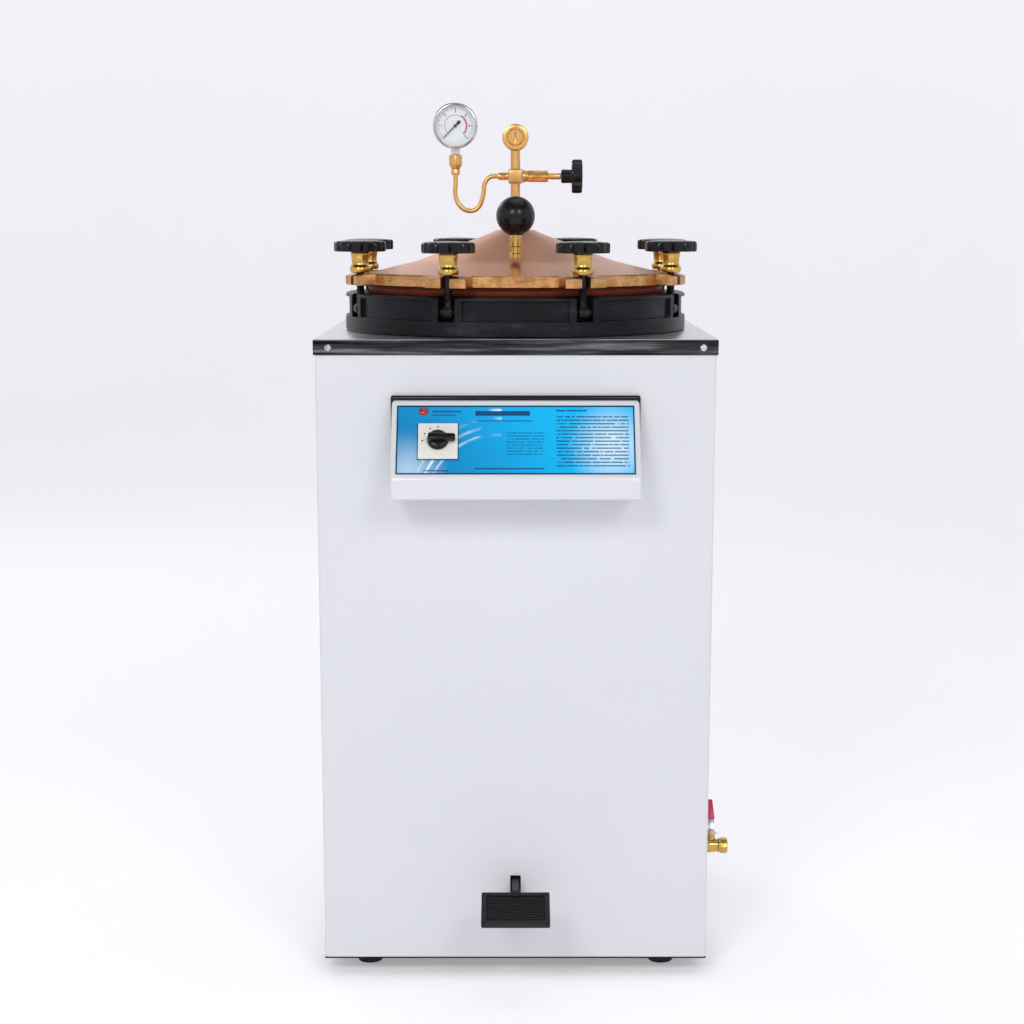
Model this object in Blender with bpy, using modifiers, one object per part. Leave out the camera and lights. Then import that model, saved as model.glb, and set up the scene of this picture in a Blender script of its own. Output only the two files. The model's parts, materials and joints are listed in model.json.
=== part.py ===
"""Floor-standing vertical autoclave with a foot pedal: a white sheet-metal cabinet, a stainless
chamber in a cast collar, and a bronze lid held down by eight swing bolts with black wheels.

Units are metres, +Z is up and -Y is the front. The model is built about the chamber's axis, and
the root empty then moves that axis so that the origin is the bottom centre of the whole machine.
"""
import math

import bmesh
import bpy
from mathutils import Matrix, Vector

# ---- driving dimensions ------------------------------------------------------------------
GAP = 0.0003                 # clearance between pieces that touch
SHEET = 0.0015               # sheet-metal thickness

CABINET_HALF = 0.220         # half of the cabinet's outer width and depth
PLATE_TOP = 0.730            # height of the stainless top above the floor
SKIRT_DROP = 0.017           # how far the top's skirt hangs down
FOOT_HEIGHT = 0.019
FOOT_RADIUS = 0.0165
FOOT_INSET = 0.049           # foot centre from the cabinet's side

CHAMBER_RADIUS = 0.150       # inside of the chamber
CHAMBER_FLOOR = 0.200        # height of the chamber's floor above the ground
HEATER_RADIUS = 0.004
HEATER_LOOP = 0.095          # radius of the heating loop
HEATER_HEIGHT = 0.022        # of the loop above the chamber's floor

COLLAR_RADIUS = 0.2015
COLLAR_HEIGHT = 0.0437
COLLAR_BAND = 0.016          # height of the smooth band below the recessed panels
COLLAR_RECESS = 0.004
GASKET_OUTER = 0.175
GASKET_INNER = 0.158
GASKET_HEIGHT = 0.0088

LID_RADIUS = 0.186
LID_FLANGE = 0.0135          # thickness of the lid's flange and lugs
LID_RISE = 0.049             # apex of the cone above the flange's top
LID_WALL = 0.006
LUG_REACH = 0.204            # radius of the lugs' outer ends
LUG_WIDTH = 0.050
LUG_RELIEF = 0.003           # drop of the lugs' tops from the bolts to their outer ends

CLAMP_COUNT = 8
CLAMP_RADIUS = 0.194         # radius of the ring of swing bolts
BOLT_RADIUS = 0.0045
PIN_RADIUS = 0.003
PIN_DROP = 0.017             # swing pin below the collar's top
POCKET_WIDTH = 0.020
POCKET_DEPTH = 0.027
HUB_HEIGHT = 0.0235
HUB_RADIUS = 0.010
HUB_FLANGE_RADIUS = 0.0122
NUT_CLEARANCE = 0.0012       # gap under each nut, so that it passes its lug when it swings out
WHEEL_RADIUS = 0.030
WHEEL_THICKNESS = 0.0095
WHEEL_DOME = 0.004
WHEEL_LOBES = 12

COLUMN_RADIUS = 0.0057
CROSS_SIZE = 0.017
CROSS_ABOVE_APEX = 0.062
COLUMN_HEIGHT = 0.0855        # top of the column above the cone's apex
SAFETY_COLLAR = 0.0095       # height of the flared collar under the head
SAFETY_HEAD_RADIUS = 0.0155
SAFETY_HEAD_DEPTH = 0.018
GAUGE_X = -0.0705            # gauge centre from the column
GAUGE_RADIUS = 0.0265
GAUGE_WELL = 0.009           # depth of the dial below the bezel
GAUGE_NECK = 0.0105          # side of the square neck under the case
GAUGE_DEPTH = 0.022
GAUGE_ABOVE_CROSS = 0.058
TUBE_RADIUS = 0.0028
VALVE_RADIUS = 0.0075
VALVE_LENGTH = 0.0296
VALVE_STEM_RADIUS = 0.0036
VALVE_STEM_REACH = 0.0155
KNOB_HUB_RADIUS = 0.008
KNOB_HUB_LENGTH = 0.0125
KNOB_RADIUS = 0.0195
KNOB_THICKNESS = 0.0125
BALL_RADIUS = 0.022
BALL_Y = -0.115              # lid handle, in front of the column
BALL_ABOVE_LID = 0.052

CONSOLE_WIDTH = 0.270
CONSOLE_TOP = 0.664
CONSOLE_EDGE = 0.585         # height of the console's front edge
CONSOLE_BOTTOM = 0.5625
CONSOLE_TOP_REACH = 0.016    # how far the console's top and front edges stand out
CONSOLE_REACH = 0.070
CONSOLE_WALL = 0.0025
OVERLAY_MARGIN = 0.006
OVERLAY_THICKNESS = 0.0008
SWITCH_X = -0.084
SWITCH_SIDE = 0.043
LAMP_X = -0.100
LAMP_RADIUS = 0.005
SELECTOR_RADIUS = 0.0115

DRAIN_PIPE_Y = -0.050        # where the pipe leaves the chamber's floor, before it turns to the valve
DRAIN_Y = -0.150
DRAIN_Z = 0.133
DRAIN_PIPE_RADIUS = 0.005
DRAIN_PIPE_X = 0.075         # where the pipe leaves the chamber's floor
DRAIN_PIPE_BEND = 0.016
DRAIN_NECK = 0.0105          # valve spindle's distance from the side panel
LEVER_RISE = 58              # slope of the drain lever in degrees
LEVER_WIDTH = 0.008
LEVER_LENGTH = 0.020
LEVER_THICKNESS = 0.002
LEVER_BOSS_RADIUS = 0.0055
GRIP_SIZE = (0.0098, 0.026, 0.0045)
GRIP_MIDDLE = 0.028          # from the spindle to the middle of the red grip
DRAIN_REACH = 0.0295         # how far the drain valve stands out of the cabinet
DRAIN_RADIUS = 0.0093

PEDAL_PIVOT_Y = 0.040
PEDAL_PIVOT_Z = 0.105
PEDAL_BAR_HEIGHT = 0.022
PEDAL_BAR_THICKNESS = 0.008
PEDAL_PAD_WIDTH = 0.076
PEDAL_PAD_LENGTH = 0.052
PEDAL_PAD_TILT = 22.0        # degrees down towards the front
PEDAL_REACH = 0.062          # pad's back edge from the cabinet's front
PEDAL_STROKE = 3.9          # degrees

AXLE_RADIUS = 0.0042
AXLE_LENGTH = 0.120
PEDAL_PAD_THICKNESS = 0.008
ARM_RISE = 0.014             # lid arm's underside above the flange
ARM_THICKNESS = 0.008
ARM_WIDTH = 0.020
POST_RADIUS = 0.0055
POST_Y = 0.2118              # lift post, between the collar and the back panel
GLAND_X = 0.140
GLAND_Z = 0.100
GLAND_REACH = 0.016

# ---- values worked out from them ---------------------------------------------------------
CABINET_BOTTOM = FOOT_HEIGHT
COLLAR_BOTTOM = PLATE_TOP + GAP
COLLAR_TOP = COLLAR_BOTTOM + COLLAR_HEIGHT
GASKET_BOTTOM = COLLAR_TOP + GAP
LID_BOTTOM = GASKET_BOTTOM + GASKET_HEIGHT + GAP
FLANGE_TOP = LID_BOTTOM + LID_FLANGE
APEX = FLANGE_TOP + LID_RISE
PIN_Z = COLLAR_TOP - PIN_DROP
HUB_BOTTOM = FLANGE_TOP + NUT_CLEARANCE
WHEEL_BOTTOM = HUB_BOTTOM + HUB_HEIGHT
BOLT_TOP = WHEEL_BOTTOM + WHEEL_THICKNESS * 0.6
CROSS_Z = APEX + CROSS_ABOVE_APEX
GAUGE_Z = CROSS_Z + GAUGE_ABOVE_CROSS
COLUMN_TOP = APEX + COLUMN_HEIGHT
PLATE_HALF = CABINET_HALF + GAP + SHEET
FRONT = -CABINET_HALF
PAD_BACK_Y = FRONT - PEDAL_REACH
PAD_FRONT_Y = PAD_BACK_Y - PEDAL_PAD_LENGTH * math.cos(math.radians(PEDAL_PAD_TILT))

MODEL = bpy.data.collections.new("vertical_autoclave")
CUTTERS = bpy.data.collections.new("cutters")


# ---- helpers -----------------------------------------------------------------------------
def material(name, colour, roughness, metallic=0.0):
    """A plain Principled material."""
    made = bpy.data.materials.new(name)
    made.use_nodes = True
    shader = made.node_tree.nodes["Principled BSDF"]
    shader.inputs["Base Color"].default_value = (*colour, 1.0)
    shader.inputs["Roughness"].default_value = roughness
    shader.inputs["Metallic"].default_value = metallic
    return made


def add(name, mesh, finish=None, parent=None, at=(0, 0, 0), turn=(0, 0, 0), cutter=False):
    """Put a mesh into the scene as a named piece, or as a hidden cutter."""
    piece = bpy.data.objects.new(name, mesh)
    (CUTTERS if cutter else MODEL).objects.link(piece)
    piece.location = at
    piece.rotation_euler = turn
    piece.parent = parent
    if cutter:
        piece.hide_render = True
        piece.display_type = "WIRE"
    else:
        mesh.materials.append(finish)
    return piece


def mesh_of(name, bm, smooth=True):
    """Turn a bmesh into a mesh with outward faces."""
    bmesh.ops.recalc_face_normals(bm, faces=bm.faces)
    mesh = bpy.data.meshes.new(name)
    bm.to_mesh(mesh)
    bm.free()
    if smooth:
        mesh.shade_smooth()
        mesh.set_sharp_from_angle(angle=math.radians(35))
    return mesh


def box_mesh(name, size, centre=(0, 0, 0)):
    bm = bmesh.new()
    place = Matrix.Translation(centre) @ Matrix.Diagonal((*size, 1.0))
    bmesh.ops.create_cube(bm, size=1.0, matrix=place)
    return mesh_of(name, bm, smooth=False)


def rod_mesh(name, radius, length, axis="Z", sides=24, centre=(0, 0, 0), radius_end=None):
    """A cylinder or cone frustum along an axis, centred."""
    turns = {"Z": Matrix(), "X": Matrix.Rotation(math.pi / 2, 4, "Y"), "Y": Matrix.Rotation(-math.pi / 2, 4, "X")}
    bm = bmesh.new()
    end = radius if radius_end is None else radius_end
    place = Matrix.Translation(centre) @ turns[axis]
    bmesh.ops.create_cone(
        bm, cap_ends=True, segments=sides, radius1=radius, radius2=end, depth=length, matrix=place
    )
    return mesh_of(name, bm)


def turned(name, profile, steps, finish=None, closed=False, **place):
    """A profile of (radius, height) points, outer side first from the top, turned about Z."""
    mesh = bpy.data.meshes.new(name)
    count = len(profile)
    edges = [(n, n + 1) for n in range(count - 1)]
    if closed:
        edges.append((count - 1, 0))
    mesh.from_pydata([(r, 0, z) for r, z in profile], edges, [])
    piece = add(name, mesh, finish, **place)
    spin = piece.modifiers.new("turn", "SCREW")
    spin.axis = "Z"
    spin.angle = math.tau
    spin.steps = steps
    spin.render_steps = steps
    spin.use_merge_vertices = True
    spin.merge_threshold = 0.00001
    spin.use_smooth_shade = True
    return piece


def extruded(name, points, thickness, finish=None, **place):
    """A flat outline in the piece's own XY plane, thickened evenly to both sides."""
    curve = bpy.data.curves.new(name, "CURVE")
    curve.dimensions = "2D"
    curve.fill_mode = "BOTH"
    curve.extrude = thickness / 2
    line = curve.splines.new("POLY")
    line.points.add(len(points) - 1)
    for point, (x, y) in zip(line.points, points):
        point.co = (x, y, 0, 1)
    line.use_cyclic_u = True
    shape = bpy.data.objects.new(name + "_outline", curve)
    bpy.context.scene.collection.objects.link(shape)
    graph = bpy.context.evaluated_depsgraph_get()
    mesh = bpy.data.meshes.new_from_object(shape.evaluated_get(graph))
    bpy.data.objects.remove(shape)
    bm = bmesh.new()
    bm.from_mesh(mesh)
    bmesh.ops.remove_doubles(bm, verts=bm.verts, dist=0.00001)
    return add(name, mesh_of(name, bm, smooth=False), finish, **place)


def sector_mesh(name, inner, outer, low, high, middle, width, steps):
    """A block bent round the chamber's axis; middle and width are in radians."""
    bm = bmesh.new()
    corners = [bm.verts.new((r, 0, z)) for r, z in ((inner, low), (outer, low), (outer, high), (inner, high))]
    face = bm.faces.new(corners)
    bmesh.ops.rotate(bm, verts=corners, matrix=Matrix.Rotation(middle - width / 2, 3, "Z"))
    bmesh.ops.spin(bm, geom=[face, *face.edges, *corners], axis=(0, 0, 1), steps=steps, angle=width)
    return mesh_of(name, bm)


def cut(piece, mesh, operation="DIFFERENCE", at=(0, 0, 0), turn=(0, 0, 0)):
    """Cut a mesh out of a piece, or join it on."""
    tool = add(mesh.name, mesh, cutter=True, parent=piece.parent, at=at, turn=turn)
    step = piece.modifiers.new(mesh.name, "BOOLEAN")
    step.operation = operation
    step.solver = "EXACT"
    step.object = tool
    return tool


def rounded(piece, width, segments=2, angle=40):
    bevel = piece.modifiers.new("rounding", "BEVEL")
    bevel.width = width
    bevel.segments = segments
    bevel.limit_method = "ANGLE"
    bevel.angle_limit = math.radians(angle)
    return piece


def clamp_angles():
    """Angles of the swing bolts about the chamber, with the front gap centred on -Y."""
    pitch = math.tau / CLAMP_COUNT
    return [-math.pi / 2 + pitch * (n + 0.5) for n in range(CLAMP_COUNT)]


def around(angle, radius, height):
    return (radius * math.cos(angle), radius * math.sin(angle), height)


def empty(name, parent=None, at=(0, 0, 0), turn=(0, 0, 0)):
    frame = bpy.data.objects.new(name, None)
    MODEL.objects.link(frame)
    frame.parent = parent
    frame.location = at
    frame.rotation_euler = turn
    return frame


# ---- cabinet -----------------------------------------------------------------------------
def cabinet(root, white, steel, rubber, dark):
    low = CABINET_BOTTOM + SHEET + GAP
    high = PLATE_TOP - SHEET - GAP
    inside = CABINET_HALF - SHEET
    outline = [
        (-CABINET_HALF, CABINET_HALF), (-CABINET_HALF, -CABINET_HALF), (CABINET_HALF, -CABINET_HALF),
        (CABINET_HALF, CABINET_HALF), (inside, CABINET_HALF), (inside, -inside), (-inside, -inside),
        (-inside, CABINET_HALF),
    ]
    wrap = extruded("cabinet_wrap", outline, high - low, white, parent=root, at=(0, 0, (low + high) / 2))
    swing = math.tan(math.radians(PEDAL_STROKE)) * (PEDAL_PIVOT_Y - FRONT)
    slot_top = PEDAL_PIVOT_Z + PEDAL_BAR_HEIGHT / 2 + 0.003
    slot_low = PEDAL_PIVOT_Z - PEDAL_BAR_HEIGHT / 2 - swing - 0.004
    slot = (PEDAL_BAR_THICKNESS + 0.004, 4 * SHEET, slot_top - slot_low)
    cut(wrap, box_mesh("pedal_slot", slot), at=(0, FRONT, (slot_top + slot_low) / 2))
    cut(wrap, rod_mesh("drain_hole", 0.0068, 4 * SHEET, "X"), at=(CABINET_HALF, DRAIN_Y, DRAIN_Z))

    panel = (2 * (inside - GAP), SHEET, high - low)
    back = add("back_panel", box_mesh("back_panel", panel), white, root, (0, inside + SHEET / 2, (low + high) / 2))
    cut(back, rod_mesh("gland_hole", 0.0065, 4 * SHEET, "Y"), at=(0.14, CABINET_HALF, 0.10))
    for n in range(6):
        vent = box_mesh("back_vent_%d" % n, (0.12, 4 * SHEET, 0.006))
        cut(back, vent, at=(0, CABINET_HALF, 0.20 + 0.016 * n))

    base = (2 * CABINET_HALF, 2 * CABINET_HALF, SHEET)
    add("base_plate", box_mesh("base_plate", base), dark, root, (0, 0, CABINET_BOTTOM + SHEET / 2))

    reach = CABINET_HALF - FOOT_INSET
    places = {"front_left": (-1, -1), "front_right": (1, -1), "rear_left": (-1, 1), "rear_right": (1, 1)}
    for where, (x, y) in places.items():
        profile = [
            (0, FOOT_HEIGHT - GAP), (FOOT_RADIUS, FOOT_HEIGHT - GAP), (FOOT_RADIUS, 0.006),
            (FOOT_RADIUS - 0.002, 0), (0, 0),
        ]
        turned("foot_" + where, profile, 24, rubber, parent=root, at=(x * reach, y * reach, 0))

    top = (2 * PLATE_HALF, 2 * PLATE_HALF, SKIRT_DROP)
    plate = add("top_plate", box_mesh("top_plate", top), steel, root, (0, 0, PLATE_TOP - SKIRT_DROP / 2))
    hollow = 2 * (CABINET_HALF + GAP)
    cut(plate, box_mesh("top_hollow", (hollow, hollow, SKIRT_DROP)), at=(0, 0, PLATE_TOP - SHEET - SKIRT_DROP / 2))
    cut(plate, rod_mesh("chamber_hole", CHAMBER_RADIUS + 0.006, 0.02, sides=48), at=(0, 0, PLATE_TOP))
    cut(plate, rod_mesh("post_hole", POST_RADIUS + 0.0007, 0.02), at=(0, POST_Y, PLATE_TOP))
    for side, sign in (("left", -1), ("right", 1)):
        x = sign * (PLATE_HALF - 0.0165)
        z = PLATE_TOP - SKIRT_DROP * 0.53
        screw = turned(
            "skirt_screw_" + side,
            [(0, 0.0016), (0.0022, 0.0016), (0.0038, 0.0006), (0.0038, 0), (0, 0)],
            16, steel, parent=root, at=(x, -PLATE_HALF - GAP, z), turn=(math.pi / 2, 0, 0),
        )
        cut(screw, box_mesh("screw_slot_" + side, (0.0046, 0.0008, 0.0012)),
            at=(x, -PLATE_HALF - GAP - 0.0016, z), turn=(math.pi / 2, 0, 0.6))


def gland(root, black):
    """Strain-relief gland of the mains lead, on the back panel."""
    profile = [
        (0.006, GLAND_REACH), (0.0085, GLAND_REACH - 0.003), (0.0085, 0.006), (0.0105, 0.006),
        (0.0105, GAP), (0.0062, GAP), (0.0062, -0.006), (0.0035, -0.006), (0.0035, GLAND_REACH),
    ]
    turned("mains_gland", profile, 16, black, closed=True, parent=root,
           at=(GLAND_X, CABINET_HALF, GLAND_Z), turn=(-math.pi / 2, 0, 0))


# ---- chamber and collar ------------------------------------------------------------------
def vessel(root, steel, cast, red, heater):
    outer = CHAMBER_RADIUS + SHEET
    rim = COLLAR_TOP - GAP
    profile = [
        (outer, rim), (outer, CHAMBER_FLOOR + 0.010), (outer - 0.012, CHAMBER_FLOOR - SHEET),
        (0.012, CHAMBER_FLOOR - SHEET), (0.012, CHAMBER_FLOOR), (CHAMBER_RADIUS - 0.012, CHAMBER_FLOOR),
        (CHAMBER_RADIUS, CHAMBER_FLOOR + 0.011), (CHAMBER_RADIUS, rim),
    ]
    turned("chamber", profile, 32, steel, closed=True, parent=root)

    inner = outer + 0.0005
    lip = COLLAR_TOP - 0.003
    ring = turned(
        "collar_ring",
        [(inner, COLLAR_TOP), (COLLAR_RADIUS - 0.002, COLLAR_TOP), (COLLAR_RADIUS, lip),
         (COLLAR_RADIUS, COLLAR_BOTTOM), (inner, COLLAR_BOTTOM)],
        64, cast, closed=True, parent=root,
    )
    pitch = math.tau / CLAMP_COUNT
    pocket_half = math.atan2(POCKET_WIDTH / 2 + 0.009, COLLAR_RADIUS)
    for n, angle in enumerate(clamp_angles(), 1):
        recess = sector_mesh(
            "collar_recess_%d" % n, COLLAR_RADIUS - COLLAR_RECESS, COLLAR_RADIUS + 0.01,
            COLLAR_BOTTOM + COLLAR_BAND, COLLAR_TOP - 0.005, angle + pitch / 2, pitch - 2 * pocket_half, 5,
        )
        cut(ring, recess)
        length = COLLAR_RADIUS - CLAMP_RADIUS + 0.0085 + 0.02
        pocket = box_mesh("pocket_%d" % n, (length, POCKET_WIDTH, POCKET_DEPTH + 0.01))
        middle = CLAMP_RADIUS - 0.0085 + length / 2
        cut(ring, pocket, at=around(angle, middle, COLLAR_TOP - POCKET_DEPTH / 2 + 0.005), turn=(0, 0, angle))
        hole = rod_mesh("pin_hole_%d" % n, PIN_RADIUS + 0.0003, POCKET_WIDTH + 0.014, "Y", 12)
        cut(ring, hole, at=around(angle, CLAMP_RADIUS, PIN_Z), turn=(0, 0, angle))

    top = GASKET_BOTTOM + GASKET_HEIGHT
    turned(
        "gasket",
        [(GASKET_INNER, top), (GASKET_OUTER, top), (GASKET_OUTER, GASKET_BOTTOM), (GASKET_INNER, GASKET_BOTTOM)],
        32, red, closed=True, parent=root,
    )

    curve = bpy.data.curves.new("heating_element", "CURVE")
    curve.dimensions = "3D"
    curve.bevel_depth = HEATER_RADIUS
    curve.bevel_resolution = 2
    curve.use_fill_caps = True
    line = curve.splines.new("POLY")
    count = 25
    line.points.add(count - 1)
    for n, point in enumerate(line.points):
        angle = math.radians(100 + 340 * n / (count - 1))
        point.co = (*around(angle, HEATER_LOOP, CHAMBER_FLOOR + HEATER_HEIGHT), 1)
    curve.materials.append(heater)
    loop = bpy.data.objects.new("heating_element", curve)
    MODEL.objects.link(loop)
    loop.parent = root


# ---- lid and what stands on it -----------------------------------------------------------
def lid(root, bronze):
    def cone_height(radius):
        """Height of the lid's outer skin: a straight cone that flattens towards the flange."""
        slope = LID_RISE - 0.013
        if radius <= 0.116:
            return APEX - slope * max(radius - 0.020, 0) / 0.096
        return APEX - slope - 0.013 * (radius - 0.116) / (LID_RADIUS - 0.016 - 0.116)

    outer = [0.0, 0.020, 0.068, 0.116, 0.143]
    skin = [(r, cone_height(r)) for r in outer]
    under = [(r, cone_height(r) - LID_WALL) for r in (0.0, 0.020, 0.116, 0.148)]
    flange = [
        (LID_RADIUS - 0.016, FLANGE_TOP), (LID_RADIUS - 0.001, FLANGE_TOP), (LID_RADIUS, FLANGE_TOP - 0.001),
        (LID_RADIUS, LID_BOTTOM), (0.152, LID_BOTTOM),
    ]
    cover = turned("lid", skin + flange + under[::-1], 48, bronze, parent=root)
    for n, angle in enumerate(clamp_angles(), 1):
        length = LUG_REACH - 0.176
        lug = box_mesh("lug_%d" % n, (length, LUG_WIDTH, LID_FLANGE - 0.0002))
        place = around(angle, LUG_REACH - length / 2, LID_BOTTOM + LID_FLANGE / 2)
        cut(cover, lug, "UNION", at=place, turn=(0, 0, angle))
    # each lug falls away outside its bolt, so that the nut can roll off it as the clamp swings out
    slope = math.atan2(LUG_RELIEF, LUG_REACH - CLAMP_RADIUS)
    length, depth = 0.03, 0.01
    for n, angle in enumerate(clamp_angles(), 1):
        notch = box_mesh("notch_%d" % n, (0.04, 2 * BOLT_RADIUS + 0.0016, 0.04))
        place = around(angle, CLAMP_RADIUS - BOLT_RADIUS - 0.0008 + 0.02, FLANGE_TOP)
        cut(cover, notch, at=place, turn=(0, 0, angle))
        wedge = box_mesh("relief_%d" % n, (length, LUG_WIDTH + 0.01, depth))
        out = CLAMP_RADIUS + (length * math.cos(slope) + depth * math.sin(slope)) / 2
        up = FLANGE_TOP + (depth * math.cos(slope) - length * math.sin(slope)) / 2
        cut(cover, wedge, at=around(angle, out, up), turn=(0, slope, angle))
    return cone_height


def lid_fittings(root, brass, black, steel, paper, glass, cone_height):
    base = cone_height(-BALL_Y) + 0.0045
    ball_z = cone_height(-BALL_Y) + BALL_ABOVE_LID
    foot = [
        (0, ball_z - BALL_RADIUS * 0.95 - GAP), (0.0055, ball_z - BALL_RADIUS * 0.95 - GAP),
        (0.0055, base), (0, base),
    ]
    turned("handle_stem", foot, 16, brass, parent=root, at=(0, BALL_Y, 0))
    bm = bmesh.new()
    bmesh.ops.create_uvsphere(bm, u_segments=16, v_segments=10, radius=BALL_RADIUS)
    ball = add("handle_ball", mesh_of("handle_ball", bm), black, root, (0, BALL_Y, ball_z))
    flat = box_mesh("ball_flat", (0.03, 0.03, 0.02))
    cut(ball, flat, at=(0, BALL_Y, ball_z - BALL_RADIUS * 0.95 - 0.01))

    half = CROSS_SIZE / 2
    cube = (CROSS_SIZE, CROSS_SIZE, CROSS_SIZE)
    cross = add("cross_block", box_mesh("cross_block", cube), brass, root, (0, 0, CROSS_Z))
    rounded(cross, 0.002)
    column = [
        (0, CROSS_Z - half - GAP), (COLUMN_RADIUS, CROSS_Z - half - GAP), (COLUMN_RADIUS, APEX + 0.010),
        (0.011, APEX + 0.010), (0.011, APEX + GAP), (0, APEX + GAP),
    ]
    turned("lid_column", column, 20, brass, parent=root)

    head_z = COLUMN_TOP + SAFETY_COLLAR + SAFETY_HEAD_RADIUS * 0.75
    riser = [
        (0, COLUMN_TOP + SAFETY_COLLAR), (0.0088, COLUMN_TOP + SAFETY_COLLAR), (0.0088, COLUMN_TOP), (COLUMN_RADIUS, COLUMN_TOP),
        (COLUMN_RADIUS, CROSS_Z + half + GAP), (0, CROSS_Z + half + GAP),
    ]
    valve = turned("safety_valve", riser, 20, brass, parent=root)
    head = rod_mesh("safety_head", SAFETY_HEAD_RADIUS, SAFETY_HEAD_DEPTH, "Y", 28)
    cut(valve, head, "UNION", at=(0, 0, head_z))
    window = box_mesh("safety_window", (0.004, 0.01, 0.013))
    cut(valve, window, at=(0, -SAFETY_HEAD_DEPTH / 2, head_z - 0.002))

    nipple = rod_mesh("siphon_nipple", 0.0047, 0.0115, "X", 6)
    add("siphon_nipple", nipple, brass, root, (-half - GAP - 0.00575, 0, CROSS_Z))
    start = -half - GAP - 0.0115 - GAP
    nut_bottom = GAUGE_Z - GAUGE_RADIUS - 0.030
    route = siphon_route(start, nut_bottom)
    curve = bpy.data.curves.new("siphon_tube", "CURVE")
    curve.dimensions = "3D"
    curve.bevel_depth = TUBE_RADIUS
    curve.bevel_resolution = 2
    curve.use_fill_caps = True
    line = curve.splines.new("POLY")
    line.points.add(len(route) - 1)
    for point, (x, z) in zip(line.points, route):
        point.co = (x, 0, z, 1)
    curve.materials.append(brass)
    tube = bpy.data.objects.new("siphon_tube", curve)
    MODEL.objects.link(tube)
    tube.parent = root

    nut = [
        (0, nut_bottom + 0.023), (0.0087, nut_bottom + 0.023), (0.0087, nut_bottom + 0.009),
        (0.0050, nut_bottom + 0.004), (0.0050, nut_bottom + GAP), (0, nut_bottom + GAP),
    ]
    turned("gauge_nut", nut, 6, brass, parent=root, at=(GAUGE_X, 0, 0))
    gauge(root, steel, paper, glass, black, nut_bottom + 0.023 + GAP)

    body = rod_mesh("vent_valve_body", VALVE_RADIUS, VALVE_LENGTH, "X", 6)
    vent = add("vent_valve_body", body, brass, root, (half + GAP + VALVE_LENGTH / 2, 0, CROSS_Z))
    bore = rod_mesh("stem_bore", VALVE_STEM_RADIUS + GAP, 0.012, "X", 16)
    cut(vent, bore, at=(half + GAP + VALVE_LENGTH - 0.004, 0, CROSS_Z))
    stem_start = half + GAP + VALVE_LENGTH - 0.0090
    knob_start = half + GAP + VALVE_LENGTH + VALVE_STEM_REACH
    stem_length = knob_start - GAP - stem_start
    stem = rod_mesh("vent_stem", VALVE_STEM_RADIUS, stem_length, "X", 16)
    add("vent_stem", stem, brass, root, (stem_start + stem_length / 2, 0, CROSS_Z))
    outline = star(KNOB_RADIUS, 0.0028, 8, 4)
    knob_x = knob_start + KNOB_HUB_LENGTH + KNOB_THICKNESS / 2
    quarter = math.pi / 2
    knob = extruded("vent_knob", outline, KNOB_THICKNESS, black, parent=root,
                    at=(knob_x, 0, CROSS_Z), turn=(0, quarter, 0))
    hub = rod_mesh("vent_knob_hub", KNOB_HUB_RADIUS, KNOB_HUB_LENGTH + 0.002, "X", 16)
    cut(knob, hub, "UNION", at=(knob_start + (KNOB_HUB_LENGTH + 0.002) / 2, 0, CROSS_Z))


def star(radius, depth, lobes, per_lobe):
    """Outline of a lobed hand knob."""
    count = lobes * per_lobe
    points = []
    for n in range(count):
        angle = math.tau * n / count
        reach = radius - depth * (1 - math.cos(lobes * angle)) / 2
        points.append((reach * math.cos(angle), reach * math.sin(angle)))
    return points


def siphon_route(start, nut_bottom):
    """The siphon: out of the cross, down, round a U and up to the gauge, as a smooth curve."""
    knots = [
        (start, CROSS_Z), (start - 0.008, CROSS_Z - 0.0004), (start - 0.0145, CROSS_Z - 0.006),
        (start - 0.0175, CROSS_Z - 0.022), (start - 0.0235, CROSS_Z - 0.036), (-0.0525, CROSS_Z - 0.040),
        (-0.0635, CROSS_Z - 0.036), (GAUGE_X, CROSS_Z - 0.024), (GAUGE_X, nut_bottom - 0.010), (GAUGE_X, nut_bottom),
    ]
    route = []
    for n in range(len(knots) - 1):
        before = Vector(knots[max(n - 1, 0)])
        here = Vector(knots[n])
        there = Vector(knots[n + 1])
        after = Vector(knots[min(n + 2, len(knots) - 1)])
        for step in range(2):
            t = step / 2
            blend = 2 * here + (there - before) * t
            blend += (2 * before - 5 * here + 4 * there - after) * t * t
            blend += (3 * here - before - 3 * there + after) * t * t * t
            route.append(tuple(blend / 2))
    route.append(knots[-1])
    return route


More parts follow.
